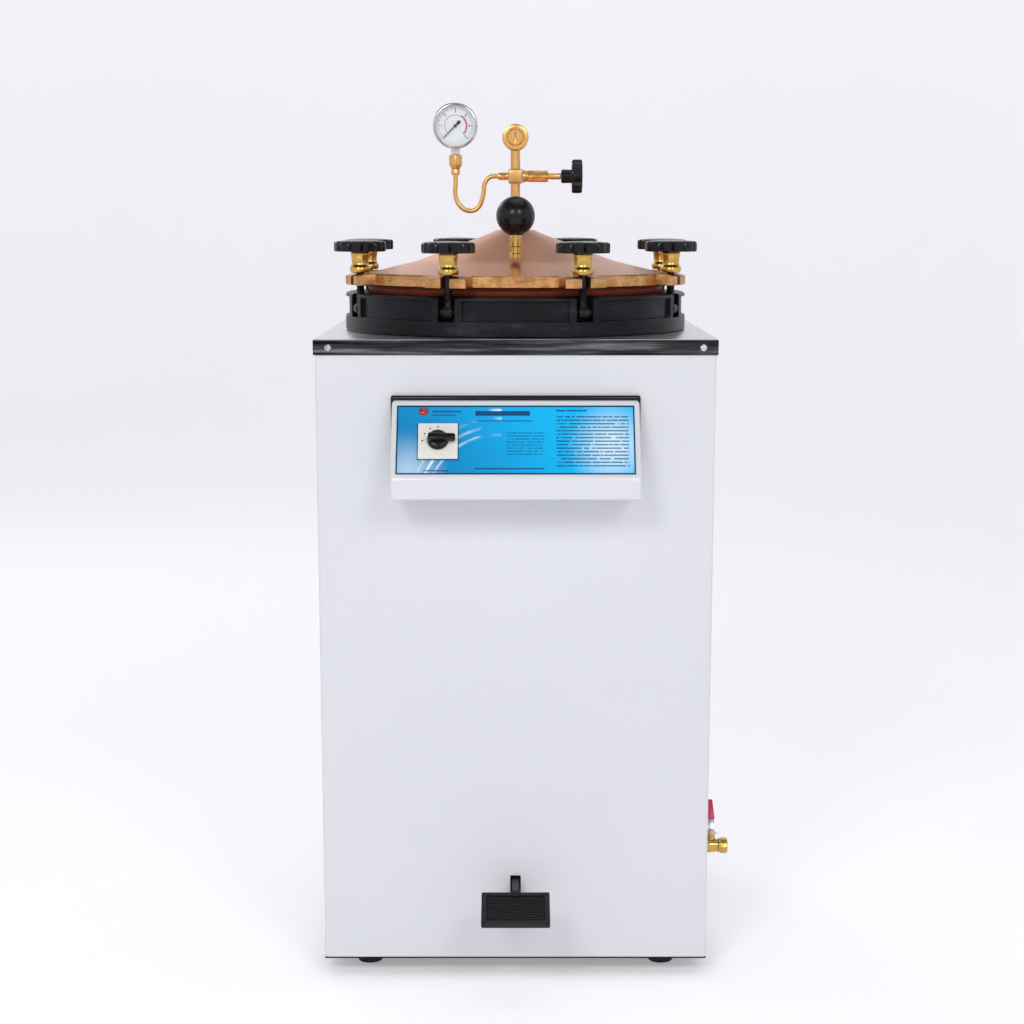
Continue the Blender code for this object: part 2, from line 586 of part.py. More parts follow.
def gauge(root, steel, paper, glass, black, neck_bottom):
    """Bourdon gauge facing the front: case with neck, dial, pointer and lens."""
    quarter = math.pi / 2
    at = (GAUGE_X, 0, GAUGE_Z)
    front = GAUGE_DEPTH / 2
    well = GAUGE_RADIUS - 0.0025
    profile = [
        (0, front - GAUGE_WELL), (well, front - GAUGE_WELL), (well, front), (GAUGE_RADIUS, front - 0.001),
        (GAUGE_RADIUS, -front + 0.002), (GAUGE_RADIUS - 0.002, -front), (0, -front),
    ]
    case = turned("gauge_case", profile, 28, steel, parent=root, at=at, turn=(quarter, 0, 0))
    length = GAUGE_Z - GAUGE_RADIUS + 0.0020 - neck_bottom
    neck = box_mesh("gauge_neck", (GAUGE_NECK, GAUGE_NECK, length))
    cut(case, neck, "UNION", at=(GAUGE_X, 0, neck_bottom + length / 2))
    dial_face = front - GAUGE_WELL + GAP + 0.0010
    dial = [(0, dial_face), (well - GAP, dial_face), (well - GAP, front - GAUGE_WELL + GAP), (0, front - GAUGE_WELL + GAP)]
    turned("gauge_dial", dial, 28, paper, parent=root, at=at, turn=(quarter, 0, 0))
    lens = [(0, front - 0.0008), (well - GAP, front - 0.0008), (well - GAP, front - 0.0026), (0, front - 0.0026)]
    turned("gauge_lens", lens, 28, glass, parent=root, at=at, turn=(quarter, 0, 0))
    pointer = [(-0.0009, -0.008), (-0.0022, -0.0055), (-0.0008, -0.002), (-0.0003, 0.0185), (0.0003, 0.0185),
               (0.0008, -0.002), (0.0022, -0.0055), (0.0009, -0.008)]
    needle_y = -(dial_face + GAP + 0.0011)
    needle = extruded("gauge_needle", pointer[::-1], 0.0006, black, parent=root,
                      at=(GAUGE_X, needle_y, GAUGE_Z), turn=(quarter, math.radians(-135), 0))
    cap = rod_mesh("needle_cap", 0.0018, 0.0016, "Y", 12)
    cut(needle, cap, "UNION", at=(GAUGE_X, needle_y - 0.0002, GAUGE_Z))


# ---- clamps ------------------------------------------------------------------------------
def clamps(root, iron, wheel_black):
    for n, angle in enumerate(clamp_angles(), 1):
        hinge = empty("clamp_%d_hinge" % n, root, around(angle, CLAMP_RADIUS, PIN_Z), (0, 0, angle))
        bolt = add("swing_bolt_%d" % n, rod_mesh("swing_bolt_%d" % n, 0.0072, 0.013, "Y", 16), iron, hinge)
        pin = rod_mesh("bolt_pin_%d" % n, PIN_RADIUS, POCKET_WIDTH + 0.012, "Y", 12)
        cut(bolt, pin, "UNION")
        length = BOLT_TOP - PIN_Z
        shank = rod_mesh("bolt_shank_%d" % n, BOLT_RADIUS, length, "Z", 12)
        cut(bolt, shank, "UNION", at=(0, 0, length / 2))
        wheel(n, hinge, wheel_black)


def wheel(n, hinge, finish):
    """Scalloped hand wheel on its waisted brass nut, with the bolt's blind bore."""
    low = HUB_BOTTOM - PIN_Z
    under = low + HUB_HEIGHT
    rim = under + WHEEL_THICKNESS
    bore = BOLT_RADIUS + 0.0003
    profile = [
        (0, rim + WHEEL_DOME), (WHEEL_RADIUS * 0.45, rim + WHEEL_DOME * 0.75), (WHEEL_RADIUS, rim),
        (WHEEL_RADIUS, under), (HUB_RADIUS, under), (HUB_RADIUS * 0.82, low + 0.011), (HUB_RADIUS, low + 0.006),
        (HUB_FLANGE_RADIUS, low + 0.005), (HUB_FLANGE_RADIUS, low), (bore, low),
        (bore, BOLT_TOP - PIN_Z + GAP), (0, BOLT_TOP - PIN_Z + GAP),
    ]
    steps = 2 * WHEEL_LOBES
    bm = bmesh.new()
    rows = []
    for radius, height in profile:
        if radius == 0:
            rows.append([bm.verts.new((0, 0, height))])
            continue
        row = []
        for k in range(steps):
            reach = radius - 0.0016 if radius == WHEEL_RADIUS and k % 2 else radius
            row.append(bm.verts.new(around(math.tau * k / steps, reach, height)))
        rows.append(row)
    for upper, lower in zip(rows, rows[1:]):
        for k in range(steps):
            ring = [upper[k % len(upper)], upper[(k + 1) % len(upper)],
                    lower[(k + 1) % len(lower)], lower[k % len(lower)]]
            bm.faces.new(list(dict.fromkeys(ring)))
    add("clamp_wheel_%d" % n, mesh_of("clamp_wheel_%d" % n, bm), finish, hinge)


# ---- console -----------------------------------------------------------------------------
def console(root, shell, overlay, black, cream, red):
    top = (FRONT - CONSOLE_TOP_REACH, CONSOLE_TOP)
    edge = (FRONT - CONSOLE_REACH, CONSOLE_EDGE)
    outline = [
        (FRONT - GAP, CONSOLE_TOP), top, edge, (FRONT - CONSOLE_REACH, CONSOLE_BOTTOM), (FRONT - GAP, CONSOLE_BOTTOM),
    ]
    # the outline's own X and Y become world Y and Z
    stand = Matrix(((0, 0, 1), (1, 0, 0), (0, 1, 0))).to_euler()
    housing = extruded("console_housing", outline, CONSOLE_WIDTH, shell, parent=root, turn=stand)
    wall = CONSOLE_WALL
    hollow = [
        (FRONT + 0.01, CONSOLE_TOP - wall), (FRONT - CONSOLE_TOP_REACH + wall, CONSOLE_TOP - 2 * wall),
        (FRONT - CONSOLE_REACH + wall, CONSOLE_EDGE - wall * 0.6),
        (FRONT - CONSOLE_REACH + wall, CONSOLE_BOTTOM + wall), (FRONT + 0.01, CONSOLE_BOTTOM + wall),
    ]
    scoop = extruded("console_hollow", hollow, CONSOLE_WIDTH - 2 * wall, shell)
    mesh = scoop.data
    bpy.data.objects.remove(scoop)
    cut(housing, mesh, turn=stand)

    # a frame on the sloping face: X to the right, Y up the slope, Z out of the face
    slope = Vector((0, top[0] - edge[0], top[1] - edge[1]))
    length = slope.length
    up = slope.normalized()
    out = Vector((1, 0, 0)).cross(up)
    turn = Matrix((Vector((1, 0, 0)), up, out)).transposed().to_euler()
    middle = Vector((0, (top[0] + edge[0]) / 2, (top[1] + edge[1]) / 2))
    face = empty("console_face", root, middle, turn)

    width = CONSOLE_WIDTH - 2 * OVERLAY_MARGIN
    height = length - 2 * OVERLAY_MARGIN
    sheet = box_mesh("console_overlay", (width, height, OVERLAY_THICKNESS))
    label = add("console_overlay", sheet, overlay, face, (0, 0, GAP + OVERLAY_THICKNESS / 2))
    lamp_at = (LAMP_X, length * 0.36, 0)
    cut(label, rod_mesh("lamp_hole", LAMP_RADIUS + GAP, 0.01, sides=20), at=lamp_at)
    lamp = [
        (0, 0.0035), (LAMP_RADIUS * 0.6, 0.003), (LAMP_RADIUS, 0.0015), (LAMP_RADIUS, GAP), (0, GAP),
    ]
    turned("pilot_lamp", lamp, 20, red, parent=face, at=lamp_at)
    base = 2 * GAP + OVERLAY_THICKNESS
    switch_at = (SWITCH_X, -length * 0.03, base + 0.0015)
    plate = add("switch_plate", box_mesh("switch_plate", (SWITCH_SIDE, SWITCH_SIDE, 0.003)), cream, face, switch_at)
    rounded(plate, 0.001)
    knob_z = base + 0.003 + GAP
    boss = [
        (0, 0.007), (SELECTOR_RADIUS - 0.0015, 0.007), (SELECTOR_RADIUS, 0.0055), (SELECTOR_RADIUS, 0), (0, 0),
    ]
    selector = turned("selector_knob", boss, 28, black, parent=face, at=(SWITCH_X, switch_at[1], knob_z))
    wing = box_mesh("selector_wing", (0.030, 0.0065, 0.013))
    cut(selector, wing, "UNION", at=(SWITCH_X + 0.0045, switch_at[1], knob_z + 0.0066))


# ---- drain -------------------------------------------------------------------------------
def drain(root, brass, steel, red):
    wall = CABINET_HALF
    bend = DRAIN_PIPE_BEND
    x, y = DRAIN_PIPE_X, DRAIN_PIPE_Y
    knots = [
        (x, y, CHAMBER_FLOOR - SHEET - GAP), (x, y, DRAIN_Z + bend), (x + bend * 0.29, y, DRAIN_Z + bend * 0.29),
        (x + bend, y, DRAIN_Z), (wall - 0.045, DRAIN_Y, DRAIN_Z), (wall - 0.003, DRAIN_Y, DRAIN_Z),
    ]
    curve = bpy.data.curves.new("drain_pipe", "CURVE")
    curve.dimensions = "3D"
    curve.bevel_depth = DRAIN_PIPE_RADIUS
    curve.bevel_resolution = 2
    curve.use_fill_caps = True
    line = curve.splines.new("POLY")
    line.points.add(len(knots) - 1)
    for point, knot in zip(line.points, knots):
        point.co = (*knot, 1)
    curve.materials.append(brass)
    pipe = bpy.data.objects.new("drain_pipe", curve)
    MODEL.objects.link(pipe)
    pipe.parent = root

    start = -0.0025
    reach = DRAIN_REACH
    profile = [
        (0, reach - 0.012), (0.0065, reach - 0.012), (0.0065, reach), (DRAIN_RADIUS, reach),
        (DRAIN_RADIUS, reach - 0.011), (0.0078, reach - 0.012), (0.0085, 0.006), (0.0085, 0.001),
        (0.0060, 0.001), (0.0060, start), (0, start),
    ]
    body = turned("drain_valve_body", profile, 16, brass, parent=root,
                  at=(wall, DRAIN_Y, DRAIN_Z), turn=(0, math.pi / 2, 0))
    neck_x = wall + DRAIN_NECK
    neck = rod_mesh("drain_neck", 0.0045, 0.012, sides=12)
    cut(body, neck, "UNION", at=(neck_x, DRAIN_Y, DRAIN_Z + 0.0095))
    hinge = empty("drain_hinge", root, (neck_x, DRAIN_Y, DRAIN_Z + 0.0155 + GAP))
    thick = LEVER_THICKNESS
    boss = rod_mesh("drain_lever", LEVER_BOSS_RADIUS, 2 * thick, sides=12, centre=(0, 0, thick))
    lever = add("drain_lever", boss, red, hinge)
    rise = math.radians(LEVER_RISE)
    arm = box_mesh("lever_arm", (LEVER_WIDTH, LEVER_LENGTH, thick))
    half = LEVER_LENGTH / 2
    place = (0, half * math.cos(rise) + thick, half * math.sin(rise) + thick)
    cut(lever, arm, "UNION", at=place, turn=(rise, 0, 0))
    grip = box_mesh("lever_grip", GRIP_SIZE)
    out, up = GRIP_MIDDLE * math.cos(rise), GRIP_MIDDLE * math.sin(rise) + thick
    rounded(cut(lever, grip, "UNION", at=(0, out, up), turn=(rise, 0, 0)), 0.0015, 1)


# ---- pedal and lift ----------------------------------------------------------------------
def pedal(root, black, steel, bronze):
    pivot = empty("pedal_hinge", root, (0, PEDAL_PIVOT_Y, PEDAL_PIVOT_Z))
    bar_front = PAD_BACK_Y - 0.030 - PEDAL_PIVOT_Y
    bar_back = POST_Y + 0.003 - PEDAL_PIVOT_Y
    size = (PEDAL_BAR_THICKNESS, bar_back - bar_front, PEDAL_BAR_HEIGHT)
    bar = add("pedal_arm", box_mesh("pedal_arm", size, (0, (bar_front + bar_back) / 2, 0)), black, pivot)
    tilt = math.radians(PEDAL_PAD_TILT)
    pad_centre_y = (PAD_BACK_Y + PAD_FRONT_Y) / 2 - PEDAL_PIVOT_Y
    pad_centre_z = PEDAL_BAR_HEIGHT / 2 - PEDAL_PAD_LENGTH / 2 * math.sin(tilt) + 0.001
    clear = box_mesh("bar_slope", (0.03, 0.08, 0.03))
    shift = Vector((0, math.sin(tilt), -math.cos(tilt)))
    slope_at = Vector((0, pad_centre_y, pad_centre_z)) - shift * (0.015 - PEDAL_PAD_THICKNESS / 2 - GAP)
    cut(bar, clear, at=slope_at, turn=(tilt, 0, 0))
    cut(bar, rod_mesh("axle_hole", AXLE_RADIUS + GAP, 0.02, "X", 16))
    pad = box_mesh("pedal_pad", (PEDAL_PAD_WIDTH, PEDAL_PAD_LENGTH, PEDAL_PAD_THICKNESS))
    tread = add("pedal_pad", pad, black, pivot, (0, pad_centre_y, pad_centre_z), (tilt, 0, 0))
    rounded(tread, 0.0015)

    axle = rod_mesh("pedal_axle", AXLE_RADIUS, AXLE_LENGTH, "X", 16)
    add("pedal_axle", axle, steel, root, (0, PEDAL_PIVOT_Y, PEDAL_PIVOT_Z))

    post_low = PEDAL_PIVOT_Z + PEDAL_BAR_HEIGHT / 2 + GAP
    arm_z = FLANGE_TOP + ARM_RISE
    post = rod_mesh("lift_post", POST_RADIUS, arm_z - GAP - post_low, sides=16)
    add("lift_post", post, steel, root, (0, POST_Y, (arm_z - GAP + post_low) / 2))
    back = POST_Y + POST_RADIUS
    arm_top = arm_z + ARM_THICKNESS
    foot_back, foot_front = LID_RADIUS - 0.002, LID_RADIUS - 0.014
    outline = [
        (back, arm_z), (back, arm_top), (foot_front, arm_top), (foot_front, FLANGE_TOP + GAP),
        (foot_back, FLANGE_TOP + GAP), (foot_back, arm_z),
    ]
    stand = Matrix(((0, 0, 1), (1, 0, 0), (0, 1, 0))).to_euler()
    extruded("lid_arm", outline, ARM_WIDTH, bronze, parent=root, turn=stand)


def build():
    for old in list(bpy.data.objects):
        bpy.data.objects.remove(old)
    bpy.context.scene.collection.children.link(MODEL)
    bpy.context.scene.collection.children.link(CUTTERS)

    white = material("white_enamel", (0.85, 0.86, 0.87), 0.35)
    steel = material("stainless_steel", (0.62, 0.62, 0.63), 0.22, 1.0)
    cast = material("black_cast_iron", (0.025, 0.027, 0.032), 0.35, 0.6)
    iron = material("black_iron", (0.02, 0.02, 0.022), 0.4, 0.5)
    red = material("red_rubber", (0.36, 0.07, 0.04), 0.6)
    bronze = material("bronze", (0.72, 0.42, 0.25), 0.3, 1.0)
    brass = material("brass", (0.78, 0.55, 0.27), 0.28, 1.0)
    black = material("black_plastic", (0.015, 0.015, 0.016), 0.25)
    rubber = material("black_rubber", (0.02, 0.02, 0.02), 0.7)
    paper = material("dial_white", (0.85, 0.88, 0.88), 0.5)
    glass = material("clear_glass", (0.9, 0.93, 0.95), 0.05)
    overlay = material("blue_overlay", (0.05, 0.45, 0.75), 0.3)
    cream = material("cream_plastic", (0.75, 0.73, 0.66), 0.4)
    lamp = material("red_lamp", (0.6, 0.02, 0.03), 0.2)
    heater = material("heater_sheath", (0.25, 0.22, 0.2), 0.4, 0.9)

    left = -PLATE_HALF
    right = CABINET_HALF + DRAIN_REACH
    back = CABINET_HALF + GLAND_REACH
    pad_drop = 0.004 * math.sin(math.radians(PEDAL_PAD_TILT))
    root = empty("autoclave", at=(-(left + right) / 2, -(PAD_FRONT_Y - pad_drop + back) / 2, 0))
    cabinet(root, white, steel, rubber, iron)
    gland(root, black)
    vessel(root, steel, cast, red, heater)
    cone_height = lid(root, bronze)
    lid_fittings(root, brass, black, steel, paper, glass, cone_height)
    clamps(root, iron, black)
    console(root, white, overlay, black, cream, lamp)
    drain(root, brass, steel, lamp)
    pedal(root, iron, steel, bronze)


build()
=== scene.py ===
"""Looks of the floor-standing vertical autoclave: finishes, rounded castings and turned brass."""
import json
import math

import bmesh
import bpy
from mathutils import Matrix, Vector


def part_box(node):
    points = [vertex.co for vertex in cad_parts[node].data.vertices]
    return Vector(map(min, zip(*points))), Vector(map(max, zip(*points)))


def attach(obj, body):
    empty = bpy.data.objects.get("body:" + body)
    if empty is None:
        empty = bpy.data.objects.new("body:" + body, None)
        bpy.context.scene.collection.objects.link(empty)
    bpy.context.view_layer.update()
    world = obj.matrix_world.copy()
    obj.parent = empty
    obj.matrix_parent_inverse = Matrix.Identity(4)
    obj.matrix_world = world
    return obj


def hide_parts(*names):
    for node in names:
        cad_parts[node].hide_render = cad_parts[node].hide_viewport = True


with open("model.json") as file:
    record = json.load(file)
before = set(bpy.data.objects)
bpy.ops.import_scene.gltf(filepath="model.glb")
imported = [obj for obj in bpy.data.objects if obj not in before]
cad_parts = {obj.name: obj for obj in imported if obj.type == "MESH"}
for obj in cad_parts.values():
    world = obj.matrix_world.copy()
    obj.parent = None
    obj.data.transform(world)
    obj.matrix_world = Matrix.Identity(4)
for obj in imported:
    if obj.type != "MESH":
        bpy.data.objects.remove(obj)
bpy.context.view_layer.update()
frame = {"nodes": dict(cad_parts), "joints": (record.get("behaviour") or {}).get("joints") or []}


def middle(node):
    low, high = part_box(node)
    return (low + high) / 2


# ---- places read from the frame ----------------------------------------------------------
AXIS = middle("collar_ring")
COLLAR_LOW, COLLAR_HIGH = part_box("collar_ring")
PLATE_LOW, PLATE_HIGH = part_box("top_plate")
WRAP_LOW, WRAP_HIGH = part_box("cabinet_wrap")
LID_LOW, LID_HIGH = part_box("lid")
GASKET_LOW, GASKET_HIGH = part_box("gasket")
CROSS = middle("cross_block")
CLAMP_COUNT = 8
CLAMP_ANGLES = [-math.pi / 2 + math.tau / CLAMP_COUNT * (n + 0.5) for n in range(CLAMP_COUNT)]
CLAMP_RADIUS = 0.194
PIN_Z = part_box("swing_bolt_1")[0].z + 0.0072
COLLAR_RADIUS = (COLLAR_HIGH.x - COLLAR_LOW.x) / 2
FLANGE_THICKNESS = 0.0135
FLANGE_TOP = LID_LOW.z + FLANGE_THICKNESS
APEX = LID_HIGH.z
LID_RADIUS = 0.186
LUG_REACH = 0.204
LUG_WIDTH = 0.050


# ---- shader writing ----------------------------------------------------------------------
class Value:
    """A socket that can be used in a sum."""

    def __init__(self, paint, socket):
        self.paint = paint
        self.socket = socket

    def math(self, operation, other=0.0, flip=False):
        first, second = (other, self) if flip else (self, other)
        return self.paint.node("ShaderNodeMath", {"operation": operation}, {0: first, 1: second})

    def __add__(self, other):
        return self.math("ADD", other)

    def __sub__(self, other):
        return self.math("SUBTRACT", other)

    def __mul__(self, other):
        return self.math("MULTIPLY", other)

    def __truediv__(self, other):
        return self.math("DIVIDE", other)

    def __rsub__(self, other):
        return self.math("SUBTRACT", other, flip=True)

    def __gt__(self, other):
        return self.math("GREATER_THAN", other)

    def __lt__(self, other):
        return self.math("LESS_THAN", other)

    __radd__ = __add__
    __rmul__ = __mul__

    def between(self, low, high):
        return (self > low) * (self < high)

    def ease(self, low, high):
        """0 below low, 1 above high, smooth between them."""
        settings = {"interpolation_type": "SMOOTHSTEP"}
        return self.paint.node("ShaderNodeMapRange", settings, {0: self, 1: low, 2: high})


class Paint:
    """A Principled material that is written as expressions."""

    def __init__(self, name, **constants):
        self.material = bpy.data.materials.new(name)
        self.material.use_nodes = True
        self.tree = self.material.node_tree
        self.shader = self.tree.nodes["Principled BSDF"]
        for socket, value in constants.items():
            self.shader.inputs[socket.replace("_", " ")].default_value = value

    def node(self, kind, settings=None, inputs=None, output=0):
        made = self.tree.nodes.new(kind)
        for key, value in (settings or {}).items():
            if key == "stops":
                self.stops(made.color_ramp, value)
            else:
                setattr(made, key, value)
        for key, value in (inputs or {}).items():
            if isinstance(value, Value):
                self.tree.links.new(value.socket, made.inputs[key])
            else:
                made.inputs[key].default_value = value
        return Value(self, made.outputs[output])

    @staticmethod
    def stops(ramp, stops):
        while len(ramp.elements) < len(stops):
            ramp.elements.new(0.5)
        for element, (place, colour) in zip(ramp.elements, stops):
            element.position = place
            element.color = (*colour, 1.0)

    def place(self, scale=(1, 1, 1), centre=(0, 0, 0), turn=(0, 0, 0)):
        """Object coordinates, moved to a centre, turned and scaled."""
        where = self.node("ShaderNodeTexCoord", output="Object")
        moved = self.node("ShaderNodeVectorMath", {"operation": "SUBTRACT"}, {0: where, 1: centre})
        return self.node("ShaderNodeMapping", None, {0: moved, 2: turn, 3: scale})

    def noise(self, scale, place, detail=3.0, roughness=0.5):
        inputs = {"Vector": place, "Scale": scale, "Detail": detail, "Roughness": roughness}
        return self.node("ShaderNodeTexNoise", None, inputs)

    def parts(self, place):
        return [self.node("ShaderNodeSeparateXYZ", None, {0: place}, n) for n in range(3)]

    def mix(self, amount, first, second):
        one, two = [c if isinstance(c, Value) else (*c, 1.0) for c in (first, second)]
        return self.node("ShaderNodeMix", {"data_type": "RGBA"}, {0: amount, 6: one, 7: two}, 2)

    def feed(self, socket, value):
        self.tree.links.new(value.socket, self.shader.inputs[socket])

    def bump(self, height, strength, distance):
        sockets = {"Height": height, "Strength": strength, "Distance": distance}
        made = self.node("ShaderNodeBump", None, sockets)
        self.feed("Normal", made)


def enamel():
    """White powder coat with fine orange peel."""
    paint = Paint("white_enamel", Coat_Weight=0.25, Coat_Roughness=0.12)
    place = paint.place()
    cloud = paint.noise(4, place)
    paint.feed("Base Color", paint.mix(cloud, (0.64, 0.655, 0.68), (0.68, 0.69, 0.71)))
    paint.feed("Roughness", 0.30 + 0.12 * paint.noise(30, place))
    paint.bump(paint.noise(900, place, 2), 0.12, 0.0002)
    return paint.material


def stainless(name="stainless", reflection_stretch=(0.6, 0.6, 14), dark=(0.006, 0.006, 0.008), pale=(0.05, 0.05, 0.055)):
    """Polished sheet with long soft rolling streaks of painted reflection, dark and pale, in its base colour,
    and fine brushing.
    """
    paint = Paint(name, Metallic=1.0)
    reflection_streaks = paint.noise(9, paint.place(reflection_stretch), 4, 0.6)
    fine = paint.noise(220, paint.place((0.05, 0.05, 6)), 2)
    # Painted reflection: the streak noise runs the base colour from the dark painted reflection through the
    # pale one to mid grey, in place of the mirror's reflections.
    stops = [(0.36, dark), (0.52, pale), (0.70, (0.26, 0.25, 0.26))]
    painted_reflection_tone = paint.node("ShaderNodeValToRGB", {"stops": stops}, {0: reflection_streaks})
    paint.feed("Base Color", painted_reflection_tone)
    paint.feed("Roughness", 0.14 + 0.14 * fine)
    paint.bump(fine, 0.04, 0.0002)
    return paint.material


def plate_steel():
    """Bright top sheet, brushed from side to side."""
    paint = Paint("plate_steel", Metallic=1.0)
    fine = paint.noise(160, paint.place((0.05, 5, 1)), 3)
    cloud = paint.noise(5, paint.place())
    paint.feed("Base Color", paint.mix(cloud, (0.60, 0.60, 0.62), (0.78, 0.78, 0.79)))
    paint.feed("Roughness", 0.20 + 0.18 * fine)
    paint.bump(fine, 0.05, 0.0002)
    return paint.material


def cast_black():
    """Satin black casting with a blue cast, brighter where it is rubbed."""
    paint = Paint("cast_black", Specular_IOR_Level=0.15, Coat_Weight=0.03, Coat_Roughness=0.25)
    place = paint.place()
    cloud = paint.noise(22, paint.place((1, 1, 2.5)), 5, 0.6)
    grain = paint.noise(420, place, 4, 0.6)
    stops = [(0.35, (0.002, 0.002, 0.003)), (0.60, (0.007, 0.008, 0.011)), (0.78, (0.030, 0.034, 0.044))]
    paint.feed("Base Color", paint.node("ShaderNodeValToRGB", {"stops": stops}, {0: cloud}))
    paint.feed("Roughness", 0.26 + 0.22 * cloud)
    paint.bump(grain * 0.6 + cloud, 0.35, 0.0007)
    return paint.material


def black_steel():
    """Blackened steel with worn, slightly brown high spots."""
    paint = Paint("black_steel", Metallic=0.7)
    place = paint.place()
    wear = paint.noise(140, place, 5, 0.65)
    stops = [(0.45, (0.010, 0.010, 0.011)), (0.72, (0.045, 0.042, 0.040))]
    paint.feed("Base Color", paint.node("ShaderNodeValToRGB", {"stops": stops}, {0: wear}))
    paint.feed("Roughness", 0.30 + 0.25 * wear)
    paint.bump(wear, 0.15, 0.0003)
    return paint.material


def red_rubber():
    """Brick-red silicone with a faint moulded bloom."""
    paint = Paint("red_rubber", Specular_IOR_Level=0.35)
    cloud = paint.noise(60, paint.place(), 4)
    paint.feed("Base Color", paint.mix(cloud, (0.17, 0.022, 0.010), (0.30, 0.050, 0.025)))
    paint.feed("Roughness", 0.48 + 0.2 * cloud)
    paint.bump(cloud, 0.1, 0.0004)
    return paint.material


def bronze_skin():
    """Pink polished bronze with circular polishing marks, darker in a few handled patches."""
    paint = Paint("bronze_skin", Metallic=1.0)
    place = paint.place(centre=AXIS)
    x, y, _ = paint.parts(place)
    radius = (x * x + y * y).math("SQRT")
    turn = y.math("ARCTAN2", x)
    ring = paint.node("ShaderNodeCombineXYZ", None, {0: radius * 900, 1: turn * 1.5, 2: 0.0})
    marks = paint.noise(1, ring, 3, 0.6)
    cloud = paint.noise(11, place, 4, 0.55)
    warm = paint.mix(cloud, (0.60, 0.30, 0.18), (0.78, 0.46, 0.31))
    paint.feed("Base Color", paint.mix(marks * 0.35, warm, (0.46, 0.20, 0.095)))
    paint.feed("Roughness", 0.24 + 0.16 * marks + 0.08 * cloud)
    paint.bump(marks, 0.06, 0.0003)
    return paint.material


def bronze_flange():
    """Golden flange, filed and ground by hand, with dark nicks."""
    paint = Paint("bronze_flange", Metallic=1.0)
    place = paint.place(centre=AXIS)
    strokes = paint.noise(260, paint.place((0.7, 0.7, 1.8), AXIS, (0.5, 0.2, 0.3)), 5, 0.7)
    blotch = paint.noise(55, place, 4, 0.6)
    stops = [(0.30, (0.20, 0.085, 0.03)), (0.48, (0.50, 0.255, 0.095)), (0.70, (0.78, 0.48, 0.22))]
    worn = strokes * 0.4 + blotch * 0.6
    paint.feed("Base Color", paint.node("ShaderNodeValToRGB", {"stops": stops}, {0: worn}))
    paint.feed("Roughness", 0.24 + 0.3 * strokes)
    paint.bump(strokes + blotch * 1.5, 0.30, 0.0006)
    return paint.material


def brass(name="brass", warm=(0.62, 0.33, 0.09), pale=(0.80, 0.49, 0.19), rough=0.20):
    """Turned brass with lathe marks and light tarnish."""
    paint = Paint(name, Metallic=1.0)
    place = paint.place()
    tarnish = paint.noise(90, place, 4, 0.6)
    lathe = paint.noise(500, paint.place((0.2, 0.2, 3)), 2)
    paint.feed("Base Color", paint.mix(tarnish, warm, pale))
    paint.feed("Roughness", rough + 0.16 * tarnish + 0.06 * lathe)
    paint.bump(lathe, 0.05, 0.0001)
    return paint.material


def black_gloss():
    """Glossy moulded phenolic with faint flow marks."""
    paint = Paint("black_gloss", Specular_IOR_Level=0.25, Coat_Weight=0.08, Coat_Roughness=0.06)
    flow = paint.noise(70, paint.place(), 3)
    paint.feed("Base Color", paint.mix(flow, (0.001, 0.001, 0.0012), (0.005, 0.005, 0.006)))
    paint.feed("Roughness", 0.16 + 0.18 * flow)
    paint.bump(flow, 0.04, 0.0003)
    return paint.material


def black_rubber():
    paint = Paint("black_rubber", Specular_IOR_Level=0.35)
    dust = paint.noise(180, paint.place(), 4, 0.6)
    paint.feed("Base Color", paint.mix(dust, (0.004, 0.004, 0.0045), (0.016, 0.016, 0.018)))
    paint.feed("Roughness", 0.45 + 0.3 * dust)
    paint.bump(dust, 0.2, 0.0004)
    return paint.material


def moulded(name, low, high, rough=0.35):
    """A plain moulded plastic or print with a little cloud in its colour."""
    paint = Paint(name)
    cloud = paint.noise(150, paint.place(), 3)
    paint.feed("Base Color", paint.mix(cloud, low, high))
    paint.feed("Roughness", rough + 0.12 * cloud)
    paint.bump(cloud, 0.05, 0.0002)
    return paint.material


def clear_lens():
    paint = Paint("clear_lens", Transmission_Weight=1.0, IOR=1.45, Roughness=0.02, Alpha=0.25)
    smear = paint.noise(40, paint.place(), 2)
    paint.feed("Base Color", paint.mix(smear, (0.95, 0.97, 0.98), (1.0, 1.0, 1.0)))
    return paint.material


